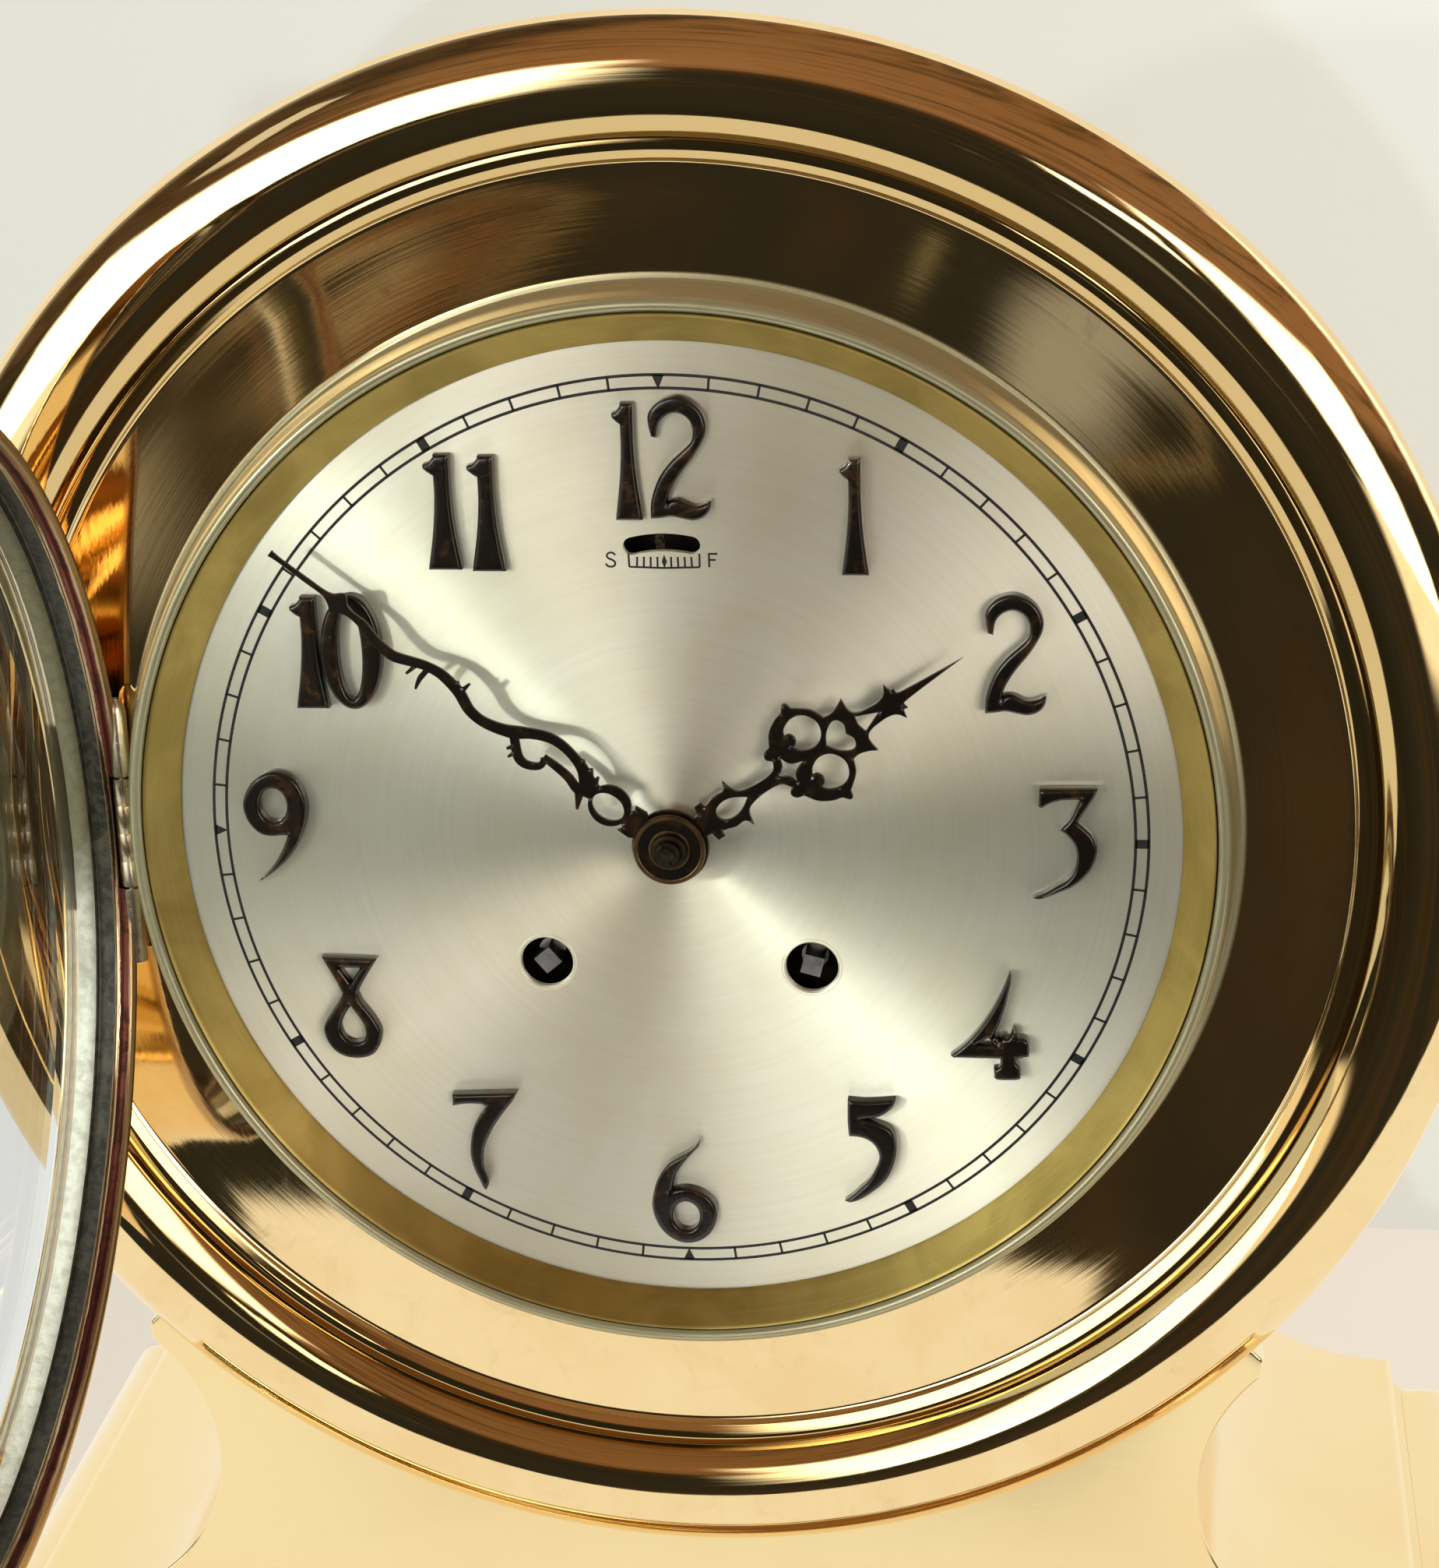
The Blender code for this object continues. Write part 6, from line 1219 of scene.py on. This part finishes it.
def make_base(gold, felt):
    """Pedestal, plinth and felt."""
    tip = polar(WING_R, 180.0 - CRADLE_ANGLE)
    side_b = SIDE_Z - FOOT_Z
    reach = math.degrees(math.atan2((tip[0] - SIDE_X) / SIDE_A, (tip[1] - SIDE_Z) / side_b))
    side = arc(SIDE_A, reach - 4.0, -180.0, 72, (SIDE_X, SIDE_Z), side_b)
    right = []
    for inset, lift in ((2.0, 0.0), (1.0, 0.1), (0.4, 0.3)):
        right.append(polar(WING_R - inset, 180.0 - CRADLE_ANGLE + lift))
    right += side + [(SHOULDER_HALF, FOOT_Z), (SHOULDER_HALF, PEDESTAL_BASE)]
    left = [(-x, z) for x, z in reversed(right)]
    cradle = arc(CRADLE_R, 180.0 + CRADLE_ANGLE, 180.0 - CRADLE_ANGLE, 128)
    shape = rounded_slab(cradle + right + left, PEDESTAL_Y, PEDESTAL_Y + PEDESTAL_D, 0.8)
    piece("pedestal", shape, "case", gold, ("pedestal_body",), BASE_CREASE)

    spread = PLINTH_HALF_X - PLINTH_HALF_Y

    def level(inset, height, radius=2.0):
        half = PLINTH_HALF_X - inset
        return (rounded_ring(half, half - spread, radius), height)

    low = FELT_T + SEAT
    face = low + PLINTH_FACE_H
    edge = PLINTH_TOP - PLINTH_EDGE_H
    steps = away((0.0, low), (0.8, 0.0), (0.25, 0.2), (0.0, 0.8))
    steps += away((0.0, face), (0.0, -0.8), (0.25, -0.2), (0.8, 0.0), (3.0, 0.0), (3.0, 1.6))
    cove = arc(PLINTH_COVE_R, 90.0, 4.0, 24, (0.0, 0.0), edge - face - 2.0)
    steps += [(3.0 + PLINTH_COVE_R - x, face + 2.0 + z) for x, z in cove]
    steps += away((20.6, edge), (-0.2, 0.0), (0.0, 0.3))
    steps += away((20.6, PLINTH_TOP), (0.0, -0.8), (0.3, -0.2), (0.9, 0.0))
    plinth = stacked([level(*step) for step in steps])
    piece("plinth", plinth, "case", gold, ("base_plinth",), BASE_CREASE)

    steps = ((1.6, 0.0), (1.1, 0.15), (1.0, 0.6), (1.0, 1.4), (1.1, 1.85), (1.6, FELT_T))
    pad = stacked([level(*step, 3.0) for step in steps])
    piece("felt", pad, "case", felt, ("base_felt",), CAST_CREASE)


def make_bezel(brass, glass, plaster, nickel, steel):
    """Open bezel ring with its glass, bedding and hinge."""
    out_r = SKIRT_IN_R + SKIRT_WALL
    lip = GLASS_BACK_H + GLASS_T + SEAT
    front = lip + LIP_T
    profile = away((SKIRT_IN_R, 0.0), (1.9, -0.3), (0.9, -0.45), (0.25, -0.8), (0.0, -1.4), (0.0, -3.7),
                   (-0.15, -3.95), (-0.5, -4.1), (-0.5, -7.6), (-0.7, -7.9))
    profile += [(GLASS_SEAT_R, -7.9), (GLASS_SEAT_R, -lip)]
    profile += away((LIP_IN_R, -lip), (0.25, 0.0), (0.0, -0.3), (0.05, -0.9))
    profile += arc((out_r - LIP_IN_R) / 2 - 0.1, -76.0, 90.0, 32, ((out_r + LIP_IN_R) / 2 + 0.1, -lip + 1.0),
                   lip - 1.0 - front)
    profile += away((out_r, 0.0), (0.0, -6.0), (0.0, -1.3), (-0.25, -0.75), (-0.8, -0.4))
    low = KNUCKLE_LOW - KNUCKLE_GAP
    high = KNUCKLE_HIGH + KNUCKLE_GAP
    axis = HINGE[:2]
    gap_r = KNUCKLE_R + KNUCKLE_GAP
    gap = block((HINGE[0] - 8.0, HINGE[1] - gap_r, low), (HINGE[0] + gap_r, HINGE[1] + 4.0, high))
    ring = cut(turned(profile, ROUND_STEPS), gap)
    piece("bezel", opened(ring), "bezel", brass, ("bezel_ring",), TURNED_CREASE)

    top = high + BEZEL_KNUCKLE_L
    bottom = low - BEZEL_KNUCKLE_L
    pointed = [(KNUCKLE_BORE_R, high)] + away((KNUCKLE_R, high), (-0.2, 0.0), (0.0, 0.2))
    pointed += away((KNUCKLE_R, top), (0.0, -3.0), (-0.35, -1.4), (-1.1, -0.3)) + [(KNUCKLE_BORE_R, top)]
    plain = [(KNUCKLE_BORE_R, bottom)] + away((KNUCKLE_R, bottom), (-0.3, 0.0), (0.0, 0.3))
    plain += away((KNUCKLE_R, low), (0.0, -0.2), (-0.2, 0.0)) + [(KNUCKLE_BORE_R, low)]
    barrels = joined(turned(pointed, 48, axis, True), turned(plain, 48, axis, True))
    piece("bezel_knuckles", opened(barrels), "bezel", nickel, (), FITTING_CREASE)

    middle = [(0.95, KNUCKLE_LOW)] + away((KNUCKLE_R, KNUCKLE_LOW), (-0.2, 0.0), (0.0, 0.2))
    for z in (KNUCKLE_LOW + 6.0, (KNUCKLE_LOW + KNUCKLE_HIGH) / 2, KNUCKLE_HIGH - 6.0):
        middle += away((KNUCKLE_R, z), (0.0, -0.25), (-0.12, 0.0), (0.0, 0.25))
    middle += away((KNUCKLE_R, KNUCKLE_HIGH), (0.0, -0.2), (-0.2, 0.0)) + [(0.95, KNUCKLE_HIGH)]
    leaf = block((HINGE[0] + 1.2, HINGE[1] - 0.4, KNUCKLE_LOW + 0.6),
                 (NOTCH_X - 0.05, HINGE[1] + 0.7, KNUCKLE_HIGH - 0.6))
    piece("fixed_knuckle", joined(turned(middle, 48, axis, True), leaf), "case", nickel,
          ("hinge_knuckle",), FITTING_CREASE)
    pin = away((0.0, bottom), (0.0, 0.1), (0.5, 0.15), (0.8, 0.5))
    pin += away((0.0, top), (0.8, -0.5), (0.5, -0.15), (0.0, -0.1))
    piece("pin", turned(pin, 32, axis, True), "case", steel, ("hinge_pin",), FITTING_CREASE)

    glass_front = -GLASS_BACK_H - GLASS_T
    bevel_r = LIP_IN_R - GLASS_BEVEL
    pane = [(0.0, -GLASS_BACK_H)] + away((GLASS_R, -GLASS_BACK_H), (-0.3, 0.0), (0.0, -0.3))
    pane += away((GLASS_R, glass_front), (0.0, 0.2), (-0.2, 0.0)) + [(LIP_IN_R, glass_front)]
    pane += [(bevel_r, glass_front - BEVEL_H), (0.0, glass_front - BEVEL_H)]
    piece("pane", opened(turned(pane, ROUND_STEPS)), "bezel", glass, ("bezel_glass",), 4.0)

    piece("bedding", opened(ragged_bedding()), "bezel", plaster, ("glass_bedding",), 50.0)


def ragged_bedding():
    """Return the plaster ring behind the glass with its uneven inner face."""
    start = (GLASS_R, -8.2)
    end = (BEDDING_IN_R + 1.0, -GLASS_BACK_H + SEAT)
    sections = []
    for k in range(ROUND_STEPS * 2):
        angle = math.pi * k / ROUND_STEPS
        way = Vector((math.sin(angle), math.cos(angle)))
        rough = 0.5 + 0.5 * noise.noise(Vector((way.x * 14.0, way.y * 14.0, 1.0)))
        ripple = noise.noise(Vector((way.x * 70.0, way.y * 70.0, 5.0)))
        sag = 0.9 * rough + 0.35 * ripple
        section = away(start, (0.0, 0.0), (-0.5 - 0.4 * sag, -0.15 - 0.2 * sag),
                       (-1.5 - 0.3 * ripple, 0.3 * sag - 1.7))
        section += away(end, (0.7 - 0.5 * sag, 0.9 - 0.2 * ripple), (0.4 * (1.0 - sag), 0.0))
        section.append((start[0], end[1]))
        sections.append([(way.x * r, y, way.y * r) for r, y in section])
    return lofted(sections, False)


def dress_frame():
    """Give the CAD nodes that still show their procedural materials."""
    rows = (
        ("movement_brass", "movement_brass", PLATE_BRASS, (0.60, 0.40, 0.16), 0.28, 0.8, (0.2, 1.0, 3.0)),
        # The fittings, the lever in the regulator slot among them, are near black: painted shade inside the
        # slot.
        ("fitting_brass", "lever_brass", (0.10, 0.08, 0.05), (0.03, 0.022, 0.015), 0.30, 2.0),
        ("steel", "plain_steel", STEEL, STEEL_DARK, 0.30, 1.6, (1.0, 0.2, 1.0)),
        ("bell_metal", "bell_metal", (0.74, 0.64, 0.46), (0.56, 0.44, 0.26), 0.22, 1.2, (1.0, 3.0, 1.0)),
    )
    looks = {slot: worn_metal(*row) for slot, *row in rows}
    shown = {row["node"]: row["material_slot"] for row in frame["record"]["subparts"]}
    # Painted shade: the movement's front plate, seen through the regulator slot, is near black; the centre
    # arbor takes the fittings' near-black look.
    slot_shade = worn_metal("slot_shade_plate", (0.022, 0.016, 0.010), (0.010, 0.007, 0.005), 0.55, 0.9)
    own = {"movement_front_plate": slot_shade, "centre_arbor": looks["fitting_brass"]}
    for name, thing in frame["nodes"].items():
        if shown[name] in looks:
            for place in thing.material_slots:
                place.material = own.get(name, looks[shown[name]])


def make_stage():
    """Pale floor and wall, and the lamps."""
    floor_look = stage_look("pale_floor", (0.55, 0.54, 0.51), (0.575, 0.50, 0.42), True)
    wall_look = stage_look("pale_wall", (0.42, 0.425, 0.415), (0.515, 0.50, 0.435))
    for name, look, corners in (
        ("floor", floor_look, ((-3.0, -3.0, 0.0), (3.0, -3.0, 0.0), (3.0, WALL_Y, 0.0), (-3.0, WALL_Y, 0.0))),
        ("wall", wall_look, ((-3.0, WALL_Y, 0.0), (3.0, WALL_Y, 0.0), (3.0, WALL_Y, 3.0), (-3.0, WALL_Y, 3.0))),
    ):
        data = bpy.data.meshes.new(name)
        data.from_pydata(corners, [], [(0, 1, 2, 3)])
        data.materials.append(look)
        linked(name, data)
    for name, place, aim, size, power, colour in LAMPS:
        light = bpy.data.lights.new(name, "AREA")
        light.shape = "RECTANGLE"
        light.size, light.size_y = size
        light.energy = power
        light.color = colour
        lamp = linked(name, light)
        lamp.location = place
        lamp.rotation_euler = (Vector(aim) - Vector(place)).to_track_quat("-Z", "Y").to_euler()
        lamp.visible_glossy = name != "front"


def stage_look(name, colour, glow, table=False):
    """Matt surface of the studio with a faint unevenness. Polished metal mirrors the pale table near the clock
    and the dark end of the room beyond it, with light from the windows at its sides."""
    look = Look(name, colour, 0.0, 0.9)
    spot = look.add("ShaderNodeTexCoord", {}).outputs["Object"]
    cloud = look.noise(spot, 2.0, 3.0, 0.5)
    look.set("Base Color", look.tint(cloud, (0.3, 0.7, 0.2), colour, tuple(v * 0.95 for v in colour)))
    look.set("Specular IOR Level", 0.1)
    mirrors, direct = look.rays()
    side, depth, _ = look.parts(spot)
    # Painted light: the floor and wall glow to the camera and through glass, more towards the right.
    look.set("Emission Color", (*glow, 1.0))
    look.set("Emission Strength", look.times(direct, look.span(side, -0.30, 0.25, 0.78, 1.09)))
    glow = (*TABLE_GLOW, 1.0)
    if table:
        edge = look.scaled(side, TABLE_SLANT, TABLE_EDGE_Y)
        near = look.span(look.math("SUBTRACT", depth, edge), -0.005, 0.005)
        streak = look.noise(look.vector("MULTIPLY", spot, (5.0, 0.5, 1.0)), 1.5, 3.0, 0.6)
        bearing = look.math("DIVIDE", side, look.times(depth, -1.0))
        aside = look.math("MAXIMUM", look.span(bearing, 0.30, 0.42), look.span(bearing, -0.34, -0.46))
        aside = look.times(aside, look.span(depth, -1.0, -1.35))
        far = look.tint(streak, (0.42, 0.72), ROOM_DARK, ROOM_BROWN)
        far = look.mix(aside, far, (1.3, 1.2, 1.05))
        for patch, bright in FAR_GLEAMS:
            far = look.mix(look.inside(side, depth, patch, 0.5), far, bright)
        glow = look.mix(near, far, TABLE_GLOW)
    look.swap(mirrors, look.add("ShaderNodeEmission", {"Color": glow}))
    return look.mat


def make_world():
    """Soft light from all round, and a plain room of browns and windows for the polished metal to mirror."""
    world = bpy.data.worlds.new("studio")
    bpy.context.scene.world = world
    world.use_nodes = True
    tree = world.node_tree
    tree.nodes.clear()
    look = Look.__new__(Look)
    look.tree = tree
    way = look.add("ShaderNodeTexCoord", {}).outputs["Generated"]
    side, depth, rise = look.parts(way)
    bearing = look.math("ARCTAN2", side, look.times(depth, -1.0))
    height = look.math("ARCSINE", rise)
    ripple = look.noise(look.vector("MULTIPLY", way, (1.0, 1.0, 5.0)), 3.0, 3.0, 0.6)
    bearing = look.scaled(look.math("SUBTRACT", ripple, 0.5), 0.12, bearing)
    height = look.scaled(look.math("SUBTRACT", ripple, 0.5), 0.05, height)
    streaks = look.noise(look.vector("MULTIPLY", way, (1.0, 1.0, 8.0)), 2.4, 4.0, 0.65, 0.6)
    room = look.ramp(rise, (0.0, ROOM_DARK), (0.10, ROOM_DARK), (0.20, ROOM_BROWN), (0.30, ROOM_COPPER),
                     (0.60, (0.30, 0.165, 0.085)), (1.0, (0.26, 0.14, 0.07)))
    room = look.tint(streaks, (0.46, 0.66, 0.7), room, ROOM_BROWN)
    room = look.tint(bearing, (-0.45, -1.0, 0.75), room, ROOM_DARK)
    for window, glow in WINDOWS:
        room = look.mix(look.inside(bearing, height, [math.radians(v) for v in window], 0.15), room, glow)
    room = look.tint(depth, (-0.05, 0.25), room, (0.74, 0.75, 0.71))
    mirrors, direct = look.rays()
    skies = (((1.0, 0.96, 0.90, 1.0), WORLD_LIGHT), (room, 1.0), ((0.86, 0.87, 0.84, 1.0), 1.0))
    skies = [look.add("ShaderNodeBackground", {"Color": c, "Strength": p}).outputs[0] for c, p in skies]
    first = look.add("ShaderNodeMixShader", {0: mirrors, 1: skies[0], 2: skies[1]})
    last = look.add("ShaderNodeMixShader", {0: direct, 1: first.outputs[0], 2: skies[2]})
    look.add("ShaderNodeOutputWorld", {"Surface": last.outputs[0]})


def make_camera():
    """Camera at the photograph's place."""
    shot = bpy.data.cameras.new("camera")
    shot.sensor_fit = "VERTICAL"
    shot.sensor_height = 36.0
    shot.lens = CAMERA_FOCAL_PX / PHOTO_SIZE[1] * 36.0
    shot.clip_start = 0.05
    camera = linked("camera", shot)
    turn = Vector([math.radians(v) for v in CAMERA_TURN])
    seen = Matrix.Rotation(turn.length, 3, turn.normalized())
    level = Matrix(((1.0, 0.0, 0.0), (0.0, 0.0, -1.0), (0.0, 1.0, 0.0)))
    flip = Matrix.Diagonal((1.0, -1.0, -1.0))
    place = Vector(CAMERA_AT) + Vector((0.0, DIAL_Y, DIAL_Z))
    camera.matrix_world = Matrix.Translation(place * MM) @ (flip @ seen @ level).transposed().to_4x4()
    bpy.context.scene.camera = camera


def main():
    """Build the look of the clock and its studio."""
    brass = turned_brass()
    steel = worn_metal("screw_steel", STEEL, STEEL_DARK, 0.28, 1.6)
    make_case(brass, steel)
    make_dial(dial_silver(), matt_gilt(), printers_ink())
    make_numerals(dark_bronze("numeral_bronze", (0.10, 0.045, 0.018)))
    make_hands(dark_bronze("hand_bronze", (0.06, 0.028, 0.012)),
               worn_metal("hub_bronze", (0.19, 0.115, 0.05), (0.07, 0.045, 0.022), 0.34, 0.9),
               worn_metal("fitting_metal", (0.030, 0.023, 0.014), (0.014, 0.010, 0.007), 0.50, 1.8))
    make_base(pedestal_gold(), green_felt())
    make_bezel(patinated_brass(), clear_glass(), chalky_plaster(),
               worn_metal("worn_nickel", (0.78, 0.68, 0.52), (0.50, 0.38, 0.22), 0.20, 0.8), steel)
    dress_frame()
    make_stage()
    make_world()
    make_camera()
    bpy.context.scene.view_settings.view_transform = "Standard"


main()
